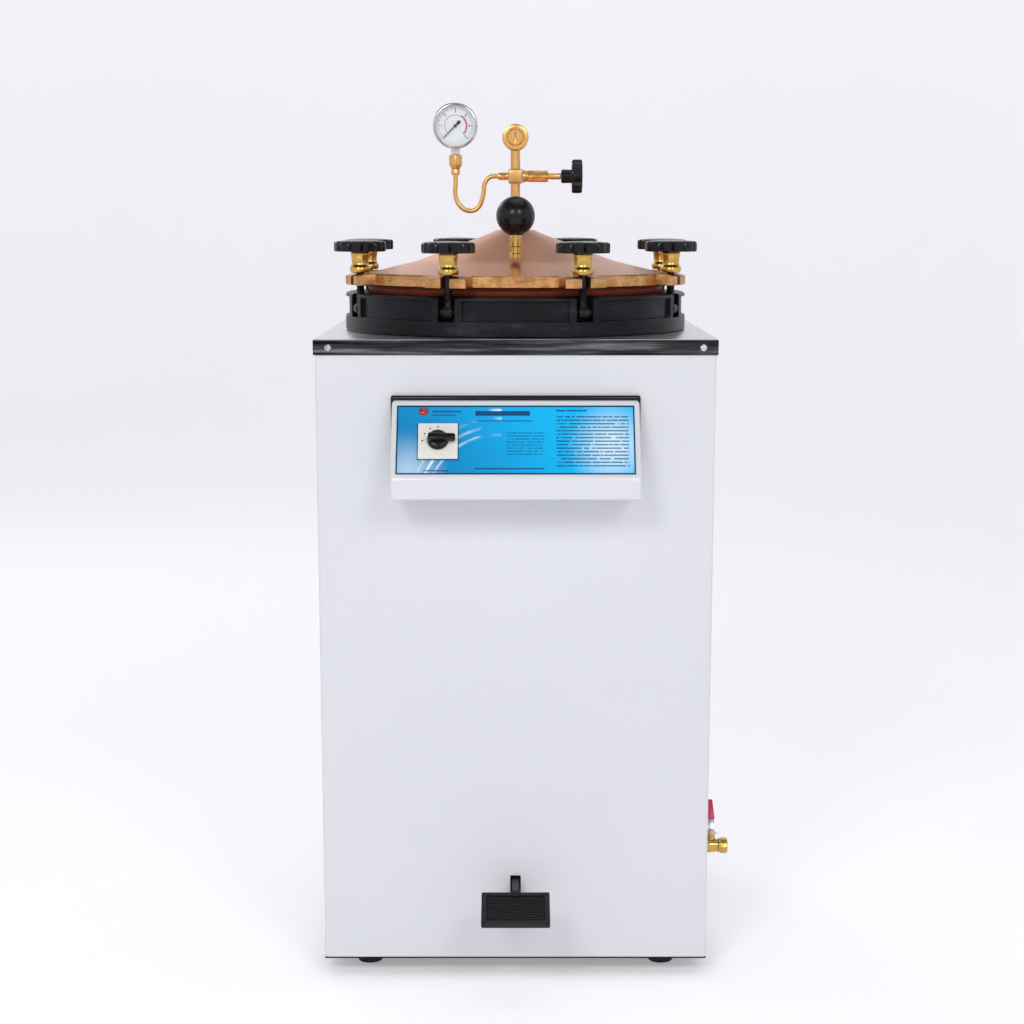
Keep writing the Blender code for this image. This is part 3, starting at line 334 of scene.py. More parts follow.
def overlay_print(low, high):
    """Blue printed panel: pale sweeps on the left, a light field with plain text bars on the right."""
    paint = Paint(
        "overlay_print", Specular_IOR_Level=0.3, Coat_Weight=0.08, Coat_Roughness=0.08, Roughness=0.34,
    )
    size = high - low
    place = paint.place((1 / size.x, 1, 1 / size.z), low)
    u, _, v = paint.parts(place)
    wide = size.x / size.z
    deep, sky, white = (0.0, 0.22, 0.50), (0.0, 0.46, 0.86), (0.72, 0.90, 0.98)
    field = paint.mix((u * 1.3 + v * 0.3).ease(0.1, 1.2), deep, sky)

    def glow(cu, cv, reach):
        du, dv = (u - cu) * wide, v - cv
        return 1 - (du * du + dv * dv).math("SQRT").ease(0.0, reach)

    field = paint.mix(glow(0.90, 0.42, 0.75) * 0.85, field, white)
    field = paint.mix(glow(0.05, 0.0, 0.7) * 0.55, field, white)
    du, dv = (u - 0.42) * wide, v + 0.55
    reach = (du * du + dv * dv).math("SQRT")
    waves = (reach * 52).math("SINE").ease(0.1, 0.95)
    strands = waves * paint.noise(3.0, paint.place((9, 1, 9), low), 2).ease(0.4, 0.62)
    sweep = strands * reach.ease(1.08, 1.16) * (1 - reach.ease(1.45, 1.62)) * (u < 0.44)
    field = paint.mix(sweep * 0.85, field, (0.92, 0.97, 1.0))

    def bars(left, right, bottom, top, lines, fill):
        """Broken bars in place of print, as rows of words of uneven length."""
        row = ((v - bottom) / (top - bottom)) * lines
        stripe = row.math("FRACT").between(0.5 - fill / 2, 0.5 + fill / 2)
        cell = paint.node("ShaderNodeCombineXYZ", None, {0: u * 95, 1: row.math("FLOOR") * 7.3, 2: 0.0})
        words = paint.noise(1.0, cell, 1) > 0.40
        return stripe * words * u.between(left, right) * v.between(bottom, top)

    ink = (0.004, 0.030, 0.12)
    field = paint.mix(bars(0.67, 0.975, 0.10, 0.86, 15, 0.42) * 0.75, field, ink)
    field = paint.mix(bars(0.67, 0.80, 0.90, 0.95, 1, 0.5) * 0.8, field, ink)
    field = paint.mix(bars(0.46, 0.62, 0.27, 0.62, 8, 0.40) * 0.55, field, ink)
    field = paint.mix(u.between(0.33, 0.56) * v.between(0.85, 0.92) * 0.9, field, ink)
    field = paint.mix(u.between(0.33, 0.57) * v.between(0.765, 0.785) * 0.6, field, ink)
    field = paint.mix(u.between(0.33, 0.62) * v.between(0.075, 0.095) * 0.8, field, ink)
    field = paint.mix(u.between(0.15, 0.27) * v.between(0.90, 0.925) * 0.7, field, ink)
    field = paint.mix(u.between(0.15, 0.25) * v.between(0.85, 0.87) * 0.6, field, ink)
    field = paint.mix(u.between(0.115, 0.22) * v.between(0.045, 0.065) * 0.7, field, ink)
    inner = u.between(0.006, 0.994) * v.between(0.022, 0.978)
    field = paint.mix(1 - inner, field, (0.0, 0.03, 0.10))
    paint.feed("Base Color", field)
    paint.bump(paint.noise(700, paint.place(), 2), 0.05, 0.0001)
    return paint.material


def red_glass():
    paint = Paint("red_glass", Coat_Weight=1.0, Roughness=0.12)
    facets = paint.node("ShaderNodeTexVoronoi", None, {"Vector": paint.place(), "Scale": 900})
    paint.feed("Base Color", paint.mix(facets, (0.55, 0.01, 0.03), (0.25, 0.0, 0.01)))
    paint.bump(facets, 0.3, 0.0004)
    return paint.material


# ---- mesh writing ------------------------------------------------------------------------
def at(x, y, z):
    """A place given from the chamber's axis, at a height above the floor."""
    return Matrix.Translation((AXIS.x + x, AXIS.y + y, z))


def turned(degrees, axis):
    return Matrix.Rotation(math.radians(degrees), 4, axis)


def polar(angle, radius, z):
    """A frame on the ring of clamps: its X points outwards."""
    return at(radius * math.cos(angle), radius * math.sin(angle), z) @ Matrix.Rotation(angle, 4, "Z")


def lathe(profile, steps=96, place=Matrix()):
    """A closed outline of (radius, height) points turned about Z; points on the axis close it."""
    bm = bmesh.new()
    verts = [bm.verts.new((r, 0, z)) for r, z in profile]
    edges = [bm.edges.new((verts[n], verts[n + 1])) for n in range(len(verts) - 1)]
    if profile[0][0] > 0:
        edges.append(bm.edges.new((verts[-1], verts[0])))
    bmesh.ops.spin(bm, geom=verts + edges, axis=(0, 0, 1), steps=steps, angle=math.tau, use_merge=True)
    bmesh.ops.remove_doubles(bm, verts=bm.verts, dist=0.00001)
    bmesh.ops.recalc_face_normals(bm, faces=bm.faces)
    bm.transform(place)
    return bm


def block(size, place=Matrix(), round_by=0.0, segments=3):
    bm = bmesh.new()
    bmesh.ops.create_cube(bm, size=1.0, matrix=Matrix.Diagonal((*size, 1.0)))
    if round_by:
        soften(bm, round_by, segments)
    bm.transform(place)
    return bm


def soften(bm, width, segments=3, angle=30):
    """Round every edge that is sharper than an angle."""
    sharp = [e for e in bm.edges if len(e.link_faces) == 2 and e.calc_face_angle(0) > math.radians(angle)]
    bmesh.ops.bevel(
        bm, geom=sharp, offset=width, offset_type="OFFSET", segments=segments, profile=0.5,
        affect="EDGES", clamp_overlap=True, material=-1,
    )


def rod(radius, length, sides=48, place=Matrix(), round_by=0.0, end=None):
    bm = bmesh.new()
    bmesh.ops.create_cone(
        bm, cap_ends=True, segments=sides, radius1=radius,
        radius2=radius if end is None else end, depth=length,
    )
    if round_by:
        soften(bm, round_by, 2)
    bm.transform(place)
    return bm


def mesh_from(name, bm, angle=35):
    mesh = bpy.data.meshes.new(name)
    bm.to_mesh(mesh)
    bm.free()
    mesh.shade_smooth()
    mesh.set_sharp_from_angle(angle=math.radians(angle))
    return mesh


def joined(parts):
    """Several bmeshes as one."""
    whole = bmesh.new()
    for bm in parts:
        mesh = bpy.data.meshes.new("part")
        bm.to_mesh(mesh)
        bm.free()
        whole.from_mesh(mesh)
        bpy.data.meshes.remove(mesh)
    return whole


def carved(bm, cutters, operation="DIFFERENCE"):
    """A bmesh after cutting or joining others, one exact Boolean for each."""
    graph_scene = bpy.context.scene.collection
    base = bpy.data.objects.new("base", mesh_from("base", bm))
    graph_scene.objects.link(base)
    tools = []
    for cutter in cutters:
        tool = bpy.data.objects.new("tool", mesh_from("tool", cutter))
        graph_scene.objects.link(tool)
        step = base.modifiers.new("cut", "BOOLEAN")
        step.operation = operation
        step.object = tool
        tools.append(tool)
    graph = bpy.context.evaluated_depsgraph_get()
    result = bmesh.new()
    result.from_object(base, graph)
    for used in [base, *tools]:
        bpy.data.objects.remove(used)
    bmesh.ops.remove_doubles(result, verts=result.verts, dist=0.000005)
    return result


def piece(name, bm, material, body, replaces=(), angle=35, bevel=0.0):
    """A finished piece that rides on a body."""
    made = bpy.data.objects.new(name, mesh_from(name, bm, angle))
    bpy.context.scene.collection.objects.link(made)
    made.data.materials.append(material)
    if bevel:
        rounding = made.modifiers.new("rounding", "BEVEL")
        rounding.width = bevel
        rounding.segments = 2
        rounding.limit_method = "ANGLE"
        rounding.angle_limit = math.radians(32)
        rounding.harden_normals = True
    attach(made, body)
    if replaces:
        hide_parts(*replaces)
    return made


def coat(node, material):
    """Give a CAD piece that keeps its shape a better finish."""
    slots = frame["nodes"][node].data.materials
    slots.clear()
    slots.append(material)


def hexagon(radius, length, place, chamfer=0.0008):
    return rod(radius, length, 6, place, chamfer)


def curve_mesh(curve):
    """A curve or a number turned into a mesh."""
    shape = bpy.data.objects.new("curve", curve)
    bpy.context.scene.collection.objects.link(shape)
    mesh = bpy.data.meshes.new_from_object(shape.evaluated_get(bpy.context.evaluated_depsgraph_get()))
    bpy.data.objects.remove(shape)
    bm = bmesh.new()
    bm.from_mesh(mesh)
    return bm


def tube_along(points, radius, sides=20):
    """A tube along a smooth curve through points, as a closed mesh."""
    curve = bpy.data.curves.new("route", "CURVE")
    curve.dimensions = "3D"
    curve.bevel_depth = radius
    curve.bevel_resolution = sides // 4
    curve.use_fill_caps = True
    curve.resolution_u = 8
    line = curve.splines.new("BEZIER")
    line.bezier_points.add(len(points) - 1)
    for knot, point in zip(line.bezier_points, points):
        knot.co = point
        knot.handle_left_type = "AUTO"
        knot.handle_right_type = "AUTO"
    bm = curve_mesh(curve)
    bmesh.ops.remove_doubles(bm, verts=bm.verts, dist=0.00001)
    bmesh.ops.recalc_face_normals(bm, faces=bm.faces)
    return bm


# ---- cabinet -----------------------------------------------------------------------------
SHEET = 0.0015


def open_box(low, high, round_by, gone, cutters, which):
    """A folded sheet-metal box: some sides left off, some edges rounded, then thickened and cut."""
    bm = block(high - low, Matrix.Translation((low + high) / 2))
    faces = [f for f in bm.faces if gone(f.normal)]
    bmesh.ops.delete(bm, geom=faces, context="FACES")
    edges = [e for e in bm.edges if len(e.link_faces) == 2 and which(e)]
    bmesh.ops.bevel(
        bm, geom=edges, offset=round_by, offset_type="OFFSET", segments=4, profile=0.5,
        affect="EDGES", clamp_overlap=True, material=-1,
    )
    shell = bpy.data.objects.new("shell", mesh_from("shell", bm))
    bpy.context.scene.collection.objects.link(shell)
    wall = shell.modifiers.new("wall", "SOLIDIFY")
    wall.thickness = SHEET
    wall.offset = -1
    thick = bmesh.new()
    thick.from_object(shell, bpy.context.evaluated_depsgraph_get())
    bpy.data.objects.remove(shell)
    return carved(thick, cutters)


def cabinet(white, black, rubber):
    slot_low, slot_high = PEDAL_SLOT
    slot = block(slot_high - slot_low, Matrix.Translation((slot_low + slot_high) / 2))
    hole = rod(0.0068, 0.02, 32, Matrix.Translation((WRAP_HIGH.x, DRAIN.y, DRAIN_Z)) @ turned(90, "Y"))

    def upright(edge):
        return abs(edge.verts[0].co.z - edge.verts[1].co.z) > 0.1

    skin = open_box(
        WRAP_LOW, WRAP_HIGH, 0.0035, lambda n: abs(n.z) > 0.5 or n.y > 0.5, [slot, hole], upright
    )
    piece("cabinet_skin", skin, white, "cabinet", ["cabinet_wrap"])
    coat("back_panel", white)
    coat("base_plate", black)
    coat("mains_gland", rubber)
    for n, (x, z) in enumerate([(sx, sz) for sx in (-1, 1) for sz in (0.06, 0.27, 0.48, 0.69)], 1):
        head = lathe([(0, 0.0016), (0.002, 0.0014), (0.0034, 0.0006), (0.0036, 0), (0, 0)], 24)
        head.transform(at(x * 0.205, WRAP_HIGH.y - AXIS.y, z) @ turned(-90, "X"))
        piece("back_screw_%d" % n, head, black, "cabinet")
    for where in ("front_left", "front_right", "rear_left", "rear_right"):
        low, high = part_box("foot_" + where)
        top = high.z
        foot = lathe([
            (0, top), (0.0155, top), (0.0163, top - 0.0015), (0.0165, top - 0.003), (0.0150, 0.0045),
            (0.0148, 0.0015), (0.0138, 0), (0.006, 0), (0.005, 0.002), (0, 0.002),
        ], 64)
        foot.transform(Matrix.Translation(((low.x + high.x) / 2, (low.y + high.y) / 2, 0)))
        piece("foot_pad_" + where, foot, rubber, "cabinet", ["foot_" + where])


def top_sheet(mirror, brushed, screw_steel):
    hole = rod(0.156, 0.05, 128, at(0, 0, PLATE_HIGH.z))
    post = middle("lift_post")
    post_hole = rod(0.0062, 0.05, 32, Matrix.Translation((post.x, post.y, PLATE_HIGH.z)))
    sheet = open_box(
        PLATE_LOW, PLATE_HIGH, 0.0016, lambda n: n.z < -0.5, [hole, post_hole], lambda edge: True
    )
    made = piece("top_sheet", sheet, mirror, "cabinet", ["top_plate"])
    made.data.materials.append(brushed)
    # Faces that look up take the brushed steel; the skirt and edges keep the mirror stainless, whose dark
    # streaks are painted reflection.
    for face in made.data.polygons:
        face.material_index = int(face.normal.z > 0.8)
    for side in ("left", "right"):
        spot = middle("skirt_screw_" + side)
        head = lathe([(0, 0.0019), (0.0018, 0.0018), (0.0032, 0.0012), (0.0040, 0), (0, 0)], 40)
        press = Matrix.Translation((0, 0, 0.0018)) @ turned(28, "Z")
        crosses = [block(size, press) for size in ((0.0042, 0.0009, 0.002), (0.0009, 0.0042, 0.002))]
        head = carved(head, crosses)
        head.transform(Matrix.Translation((spot.x, PLATE_LOW.y, spot.z)) @ turned(90, "X"))
        piece("skirt_screw_head_" + side, head, screw_steel, "cabinet", ["skirt_screw_" + side])


# ---- collar, gasket and lid --------------------------------------------------------------
def arc_block(inner, outer, low, high, angle, width, steps=24):
    """A block bent round the chamber's axis."""
    bm = bmesh.new()
    corners = [bm.verts.new((r, 0, z)) for r, z in ((inner, low), (outer, low), (outer, high), (inner, high))]
    face = bm.faces.new(corners)
    bmesh.ops.spin(bm, geom=[face, *face.edges, *corners], axis=(0, 0, 1), steps=steps, angle=width)
    bmesh.ops.recalc_face_normals(bm, faces=bm.faces)
    bm.transform(at(0, 0, 0) @ Matrix.Rotation(angle - width / 2, 4, "Z"))
    return bm


def collar(cast):
    low, top = COLLAR_LOW.z, COLLAR_HIGH.z
    edge = COLLAR_RADIUS
    ring = lathe([
        (0.152, top), (edge - 0.003, top), (edge - 0.0008, top - 0.001),
        (edge, top - 0.003), (edge, low + 0.0158),
        (edge + 0.0003, low + 0.0145), (edge + 0.0003, low + 0.0015), (edge - 0.0008, low), (0.152, low),
    ], 192, at(0, 0, 0))
    pitch = math.tau / CLAMP_COUNT
    cutters = []
    for angle in CLAMP_ANGLES:
        wide = pitch - 2 * math.atan2(0.019, edge)
        recess = arc_block(edge - 0.004, edge + 0.01, low + 0.0175, top - 0.0045, angle + pitch / 2, wide)
        cutters.append(recess)
        cutters.append(block((0.040, 0.020, 0.037), polar(angle, 0.2055, top - 0.0085)))
        cutters.append(rod(0.0033, 0.034, 24, polar(angle, CLAMP_RADIUS, PIN_Z) @ turned(90, "X")))
    casting = carved(ring, cutters)
    piece("collar_casting", casting, cast, "cabinet", ["collar_ring"], bevel=0.0008)


def gasket(rubber):
    low, high = GASKET_LOW.z, GASKET_HIGH.z
    outer = (GASKET_HIGH.x - GASKET_LOW.x) / 2
    bulge = [
        (outer - 0.0022 * (1 - math.sin(math.pi * n / 8)), high - (high - low) * n / 8) for n in range(9)
    ]
    ring = lathe([(0.158, high), *bulge, (0.158, low)], 160, at(0, 0, 0))
    piece("gasket_ring", ring, rubber, "cabinet", ["gasket"])


CONE_CROWN = 0.020
CONE_BREAK = 0.116
CONE_LIP = 0.013


def cone_height(radius):
    """The cover's height: a steep cone inside, a shallow skirt of it outside."""
    steep, shallow = APEX - FLANGE_TOP - CONE_LIP, CONE_LIP
    if radius <= CONE_BREAK:
        return APEX - steep * max(radius - CONE_CROWN, 0) / (CONE_BREAK - CONE_CROWN)
    return APEX - steep - shallow * (radius - CONE_BREAK) / (LID_RADIUS - 0.132)


def lid(skin, filed):
    outer = [(0.020, APEX), (0.023, APEX - 0.0004)]
    outer += [(r / 1000, cone_height(r / 1000)) for r in range(30, 167, 8)]
    flange = [
        (0.1695, FLANGE_TOP + 0.0002), (0.1712, FLANGE_TOP), (LID_RADIUS - 0.0012, FLANGE_TOP),
        (LID_RADIUS, FLANGE_TOP - 0.0012), (LID_RADIUS, LID_LOW.z + 0.001), (LID_RADIUS - 0.001, LID_LOW.z),
        (0.152, LID_LOW.z), (0.148, cone_height(0.148) - 0.006), (0.116, cone_height(0.116) - 0.006),
        (0.020, APEX - 0.006), (0, APEX - 0.006),
    ]
    cover = lathe([(0, APEX), *outer, *flange], 192, at(0, 0, 0))
    lugs, notches = [], []
    for angle in CLAMP_ANGLES:
        length = LUG_REACH - 0.176
        place = polar(angle, LUG_REACH - length / 2, LID_LOW.z + FLANGE_THICKNESS / 2)
        lugs.append(block((length, LUG_WIDTH, FLANGE_THICKNESS - 0.0003), place, 0.0014, 2))
        slope = math.atan2(LUG_RELIEF, LUG_REACH - CLAMP_RADIUS)
        edge = polar(angle, CLAMP_RADIUS, FLANGE_TOP) @ Matrix.Rotation(slope, 4, "Y")
        notches.append(block((0.03, LUG_WIDTH + 0.01, 0.01), edge @ Matrix.Translation((0.015, 0, 0.005))))
        notches.append(rod(0.0053, 0.04, 32, polar(angle, CLAMP_RADIUS, FLANGE_TOP)))
        notches.append(block((0.03, 0.0106, 0.04), polar(angle, CLAMP_RADIUS + 0.015, FLANGE_TOP)))
    cover = carved(cover, lugs, "UNION")
    cover = carved(cover, notches)
    made = piece("lid_casting", cover, skin, "lid", ["lid"], bevel=0.0005)
    made.data.materials.append(filed)
    for face in made.data.polygons:
        out = (face.center - AXIS).xy.length
        face.material_index = int(out > 0.1700 or (out > 0.14 and face.center.z < FLANGE_TOP - 0.0001))


# ---- clamps ------------------------------------------------------------------------------
WHEEL_RADIUS = 0.030
WHEEL_LOBES = 12
LUG_RELIEF = 0.003
HUB_BOTTOM = FLANGE_TOP + 0.0012
HUB_HEIGHT = 0.0235
WHEEL_THICKNESS = 0.0095
WHEEL_DOME = 0.004


def hand_wheel():
    """Domed wheel with a scalloped rim, at the height it stands."""
    low = HUB_BOTTOM + HUB_HEIGHT
    rim = low + WHEEL_THICKNESS
    edge = WHEEL_RADIUS
    profile = [
        (0, rim + WHEEL_DOME), (0.007, rim + WHEEL_DOME * 0.96), (0.0145, rim + WHEEL_DOME * 0.90),
        (0.021, rim + WHEEL_DOME * 0.80), (edge - 0.003, rim + 0.0026), (edge - 0.0010, rim + 0.0020),
        (edge, rim + 0.0008), (edge, low + 0.0014),
        (edge - 0.0008, low + 0.0004), (edge - 0.003, low + 0.0002),
        (0.022, low + 0.0018), (0.0125, low + 0.0018), (0.0118, low + 0.0001), (0, low + 0.0001),
    ]
    bm = lathe(profile, WHEEL_LOBES * 12)
    for vert in bm.verts:
        reach = vert.co.xy.length
        if reach > 0.020:
            share = min((reach - 0.020) / (edge - 0.023), 1.0)
            turn = math.atan2(vert.co.y, vert.co.x)
            dip = 0.0026 * share * (0.5 + 0.5 * math.cos(WHEEL_LOBES * turn)) ** 8
            vert.co.xy *= (reach - dip) / reach
    return bm


def hub_nut():
    """Waisted brass nut with a wide foot."""
    low = HUB_BOTTOM
    top = low + HUB_HEIGHT
    bulge = [(0.0106 + 0.0016 * math.sin(math.pi * n / 6), low + 0.0078 - 0.0013 * n) for n in range(7)]
    return lathe([
        (0, top), (0.0103, top), (0.0106, top - 0.0005), (0.0106, top - 0.0045), (0.0102, top - 0.0052),
        (0.0098, top - 0.0090), (0.0095, low + 0.0110), (0.0099, low + 0.0088), *bulge, (0.0110, low),
        (0.0050, low), (0.0050, low + 0.004), (0, low + 0.004),
    ], 64)


def swing_bolt():
    """Eye, swing pin and shank, standing on the pin's axis."""
    shank_top = HUB_BOTTOM + HUB_HEIGHT - PIN_Z
    eye = rod(0.0072, 0.013, 48, turned(90, "X"), 0.0008)
    pin = rod(0.0030, 0.032, 32, turned(90, "X"), 0.0004)
    profile = [(0, shank_top), (0.0045, shank_top), (0.0045, 0.028)]
    for n in range(16):
        profile += [(0.00415, 0.0275 - 0.0011 * n), (0.0045, 0.0270 - 0.0011 * n)]
    profile += [(0.0045, 0.0085), (0.0045, 0.001), (0, 0.001)]
    return carved(eye, [pin, lathe(profile, 32)], "UNION")


def clamps(black, gold, steel):
    wheel, nut, bolt = hand_wheel(), hub_nut(), swing_bolt()
    for n, angle in enumerate(CLAMP_ANGLES, 1):
        ring = polar(angle, CLAMP_RADIUS, 0) @ turned(41 * n, "Z")
        made = wheel.copy()
        made.transform(ring)
        piece("wheel_rim_%d" % n, made, black, "wheel_%d" % n, ["clamp_wheel_%d" % n])
        made = nut.copy()
        made.transform(ring)
        piece("wheel_nut_%d" % n, made, gold, "wheel_%d" % n)
        made = bolt.copy()
        made.transform(polar(angle, CLAMP_RADIUS, PIN_Z))
        piece("clamp_bolt_%d" % n, made, steel, "clamp_%d" % n, ["swing_bolt_%d" % n])
    for used in (wheel, nut, bolt):
        used.free()


# ---- fittings on the lid -----------------------------------------------------------------
def handle(gold, black):
    low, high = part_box("handle_stem")
    spot = middle("handle_stem")
    stem = lathe([
        (0, high.z + 0.001), (0.0066, high.z + 0.001), (0.0066, high.z - 0.0125), (0.0058, high.z - 0.0135),
        (0.0058, low.z + 0.006), (0.0066, low.z + 0.0052), (0.0066, low.z + 0.0002), (0, low.z - 0.0005),
    ], 48, Matrix.Translation((spot.x, spot.y, 0)))
    piece("handle_post", stem, gold, "lid", ["handle_stem"])
    low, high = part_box("handle_ball")
    radius = (high.x - low.x) / 2
    ball = bmesh.new()
    bmesh.ops.create_uvsphere(ball, u_segments=64, v_segments=40, radius=radius)
    ball.transform(Matrix.Translation((spot.x, spot.y, high.z - radius)))
    collar_ring = lathe([(0, 0.003), (0.0085, 0.003), (0.0092, 0.0018), (0.0085, 0), (0, 0)], 48)
    collar_ring.transform(Matrix.Translation((spot.x, spot.y, low.z - 0.0004)))
    piece("handle_knob", joined([ball, collar_ring]), black, "lid", ["handle_ball"])


def column(gold):
    low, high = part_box("lid_column")
    base = at(0, 0, 0)
    lower = lathe([
        (0, high.z), (0.0057, high.z), (0.0057, low.z + 0.0115),
        (0.0098, low.z + 0.010), (0.0108, low.z + 0.0085),
        (0.0108, low.z + 0.0015), (0.0112, low.z), (0, low.z),
    ], 48, base)
    piece("column_pipe", lower, gold, "lid", ["lid_column"])
    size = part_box("cross_block")[1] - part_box("cross_block")[0]
    cross = block(size, Matrix.Translation(CROSS), 0.0022, 4)
    piece("cross_fitting", cross, gold, "lid", ["cross_block"])

    low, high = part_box("safety_valve")
    head_radius = 0.0155
    head_z = high.z - head_radius
    neck = low.z + 0.0235
    riser = lathe([
        (0, neck + 0.012), (0.0084, neck + 0.0105), (0.0090, neck + 0.0085), (0.0088, neck + 0.006),
        (0.0080, neck + 0.003), (0.0074, neck + 0.0006),
        (0.0068, neck), (0.0057, neck), (0.0057, low.z), (0, low.z),
    ], 48, base)
    facing = at(0, 0, head_z) @ turned(90, "X")
    drum = rod(head_radius, 0.018, 72, facing, 0.0022)
    valve = carved(drum, [riser], "UNION")
    dish = lathe([
        (0, 0.02), (0.0118, 0.02), (0.0118, 0.0078), (0.0104, 0.0078), (0.0104, 0.0068), (0, 0.0068),
    ], 64, facing)
    valve = carved(valve, [dish])
    cover = lathe([(0, 0.0086), (0.0085, 0.0086), (0.0095, 0.0078), (0.0095, 0.006), (0, 0.006)], 64, facing)
    valve = carved(valve, [cover], "UNION")
    windows = [block((0.0026, 0.0130, 0.006), facing @ Matrix.Translation((0, 0, 0.0085)), 0.0008, 2)]
    for side in (-1, 1):
        for step in (-1, 0, 1):
            spot = Matrix.Translation((side * 0.0052, step * 0.0038, 0.0085))
            windows.append(block((0.0030, 0.0018, 0.002), facing @ spot @ turned(side * 24 * step, "Z")))
    valve = carved(valve, windows)
    piece("safety_valve_body", valve, gold, "lid", ["safety_valve"], bevel=0.0003)


def siphon(gold):
    low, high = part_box("siphon_nipple")
    centre = (low + high) / 2
    along = Matrix.Translation(centre) @ turned(90, "Y")
    nipple = joined([
        hexagon(0.0052, 0.0070, along @ Matrix.Translation((0, 0, -0.0002))),
        rod(0.0042, high.x - low.x, 40, along, 0.0004),
    ])
    piece("siphon_union", nipple, gold, "lid", ["siphon_nipple"])
    start = low.x - 0.0003 - AXIS.x
    nut_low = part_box("gauge_nut")[0].z
    gauge_x = middle("gauge_nut").x - AXIS.x
    z = CROSS.z
    knots = [
        (start, z), (start - 0.008, z - 0.0004), (start - 0.0145, z - 0.006), (start - 0.0175, z - 0.022),
        (start - 0.0235, z - 0.036), (-0.0525, z - 0.040), (-0.0635, z - 0.036), (gauge_x, z - 0.024),
        (gauge_x, nut_low - 0.010), (gauge_x, nut_low - 0.0003),
    ]
    route = [Vector((AXIS.x + x, AXIS.y, height)) for x, height in knots]
    piece("siphon_pipe", tube_along(route, 0.0028), gold, "lid", ["siphon_tube"])

    low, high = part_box("gauge_nut")
    stand = Matrix.Translation(((low.x + high.x) / 2, AXIS.y, 0))
    nut = carved(
        rod(0.0087, 0.0125, 6, stand @ Matrix.Translation((0, 0, high.z - 0.00625)), 0.0009),
        [lathe([
            (0, low.z + 0.012), (0.0068, low.z + 0.011), (0.0066, low.z + 0.0095), (0.0048, low.z + 0.006),
            (0.0052, low.z + 0.0045), (0.0052, low.z + 0.0008), (0.0046, low.z), (0, low.z),
        ], 48, stand)], "UNION",
    )
    piece("gauge_union_nut", nut, gold, "lid", ["gauge_nut"])


def gauge(steel, paper, ink, red, glass):
    low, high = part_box("gauge_case")
    lens_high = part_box("gauge_lens")[1]
    centre = middle("gauge_lens")
    radius = (high.x - low.x) / 2
    facing = Matrix.Translation((centre.x, AXIS.y, centre.z)) @ turned(90, "X")
    front, well = (high.y - low.y) / 2, radius - 0.0028
    case = lathe([
        (0, front - 0.009), (well, front - 0.009), (well, front - 0.0006), (well + 0.0006, front),
        (radius - 0.0012, front - 0.0002), (radius - 0.0002, front - 0.0012), (radius, front - 0.0035),
        (radius - 0.0006, front - 0.0045), (radius - 0.0006, front - 0.0052),
        (radius - 0.0002, front - 0.0058),
        (radius - 0.0002, -front + 0.003), (radius - 0.001, -front + 0.001),
        (radius - 0.003, -front), (0, -front),
    ], 128, facing)
    neck_low = low.z
    neck_high = centre.z - radius + 0.002
    neck = block(
        (0.0105, 0.0105, neck_high - neck_low),
        Matrix.Translation((centre.x, AXIS.y, (neck_high + neck_low) / 2)), 0.0011, 2,
    )
    piece("gauge_housing", carved(case, [neck], "UNION"), steel, "lid", ["gauge_case"])
    coat("gauge_dial", paper)
    coat("gauge_needle", ink)
    lens = lathe([(0, 0.0017), (well - 0.0004, 0.0014), (well - 0.0004, 0), (0, 0)], 96)
    lens.transform(Matrix.Translation((centre.x, lens_high.y, centre.z)) @ turned(90, "X"))
    piece("gauge_window", lens, glass, "lid", ["gauge_lens"])

    face = Matrix.Translation((centre.x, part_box("gauge_dial")[0].y - 0.00005, centre.z)) @ turned(90, "X")
    marks, minor = [], 30
    for n in range(minor + 1):
        long = n % 5 == 0
        turn = turned(225 - 270 * n / minor, "Z")
        size = (0.0030 if long else 0.0018, 0.00075 if long else 0.00040, 0.0001)
        marks.append(block(size, face @ turn @ Matrix.Translation((0.0208 - size[0] / 2, 0, 0))))
    marks.append(ring_arc(0.0121, 0.0126, -45, 225, face))
    piece("dial_marks", joined(marks), ink, "lid")
    piece("dial_red_arc", ring_arc(0.0129, 0.0142, -45, 60, face), red, "lid")
    numbers = []
    for n in range(7):
        turn = math.radians(225 - 45 * n)
        numbers.append(number(str(n), 0.0046, face @ Matrix.Translation(
            (0.0164 * math.cos(turn), 0.0164 * math.sin(turn), 0))))
    piece("dial_numbers", joined(numbers), ink, "lid")


def ring_arc(inner, outer, start, end, place):
    """A thin flat arc, from one angle to another in degrees."""
    bm = bmesh.new()
    corners = [bm.verts.new((r, 0, z)) for r, z in ((inner, 0), (outer, 0), (outer, 0.0001), (inner, 0.0001))]
    face = bm.faces.new(corners)
    bmesh.ops.spin(
        bm, geom=[face, *face.edges, *corners], axis=(0, 0, 1), steps=48, angle=math.radians(end - start),
    )
    bmesh.ops.recalc_face_normals(bm, faces=bm.faces)
    bm.transform(place @ turned(start, "Z"))
    return bm


def number(text, size, place):
    """A dial number as a flat mesh, centred on its place."""
    curve = bpy.data.curves.new("number", "FONT")
    curve.body = text
    curve.size = size
    curve.align_x = "CENTER"
    curve.align_y = "CENTER"
    curve.extrude = 0.00005
    curve.resolution_u = 3
    bm = curve_mesh(curve)
    bmesh.ops.remove_doubles(bm, verts=bm.verts, dist=0.000005)
    bm.transform(place)
    return bm


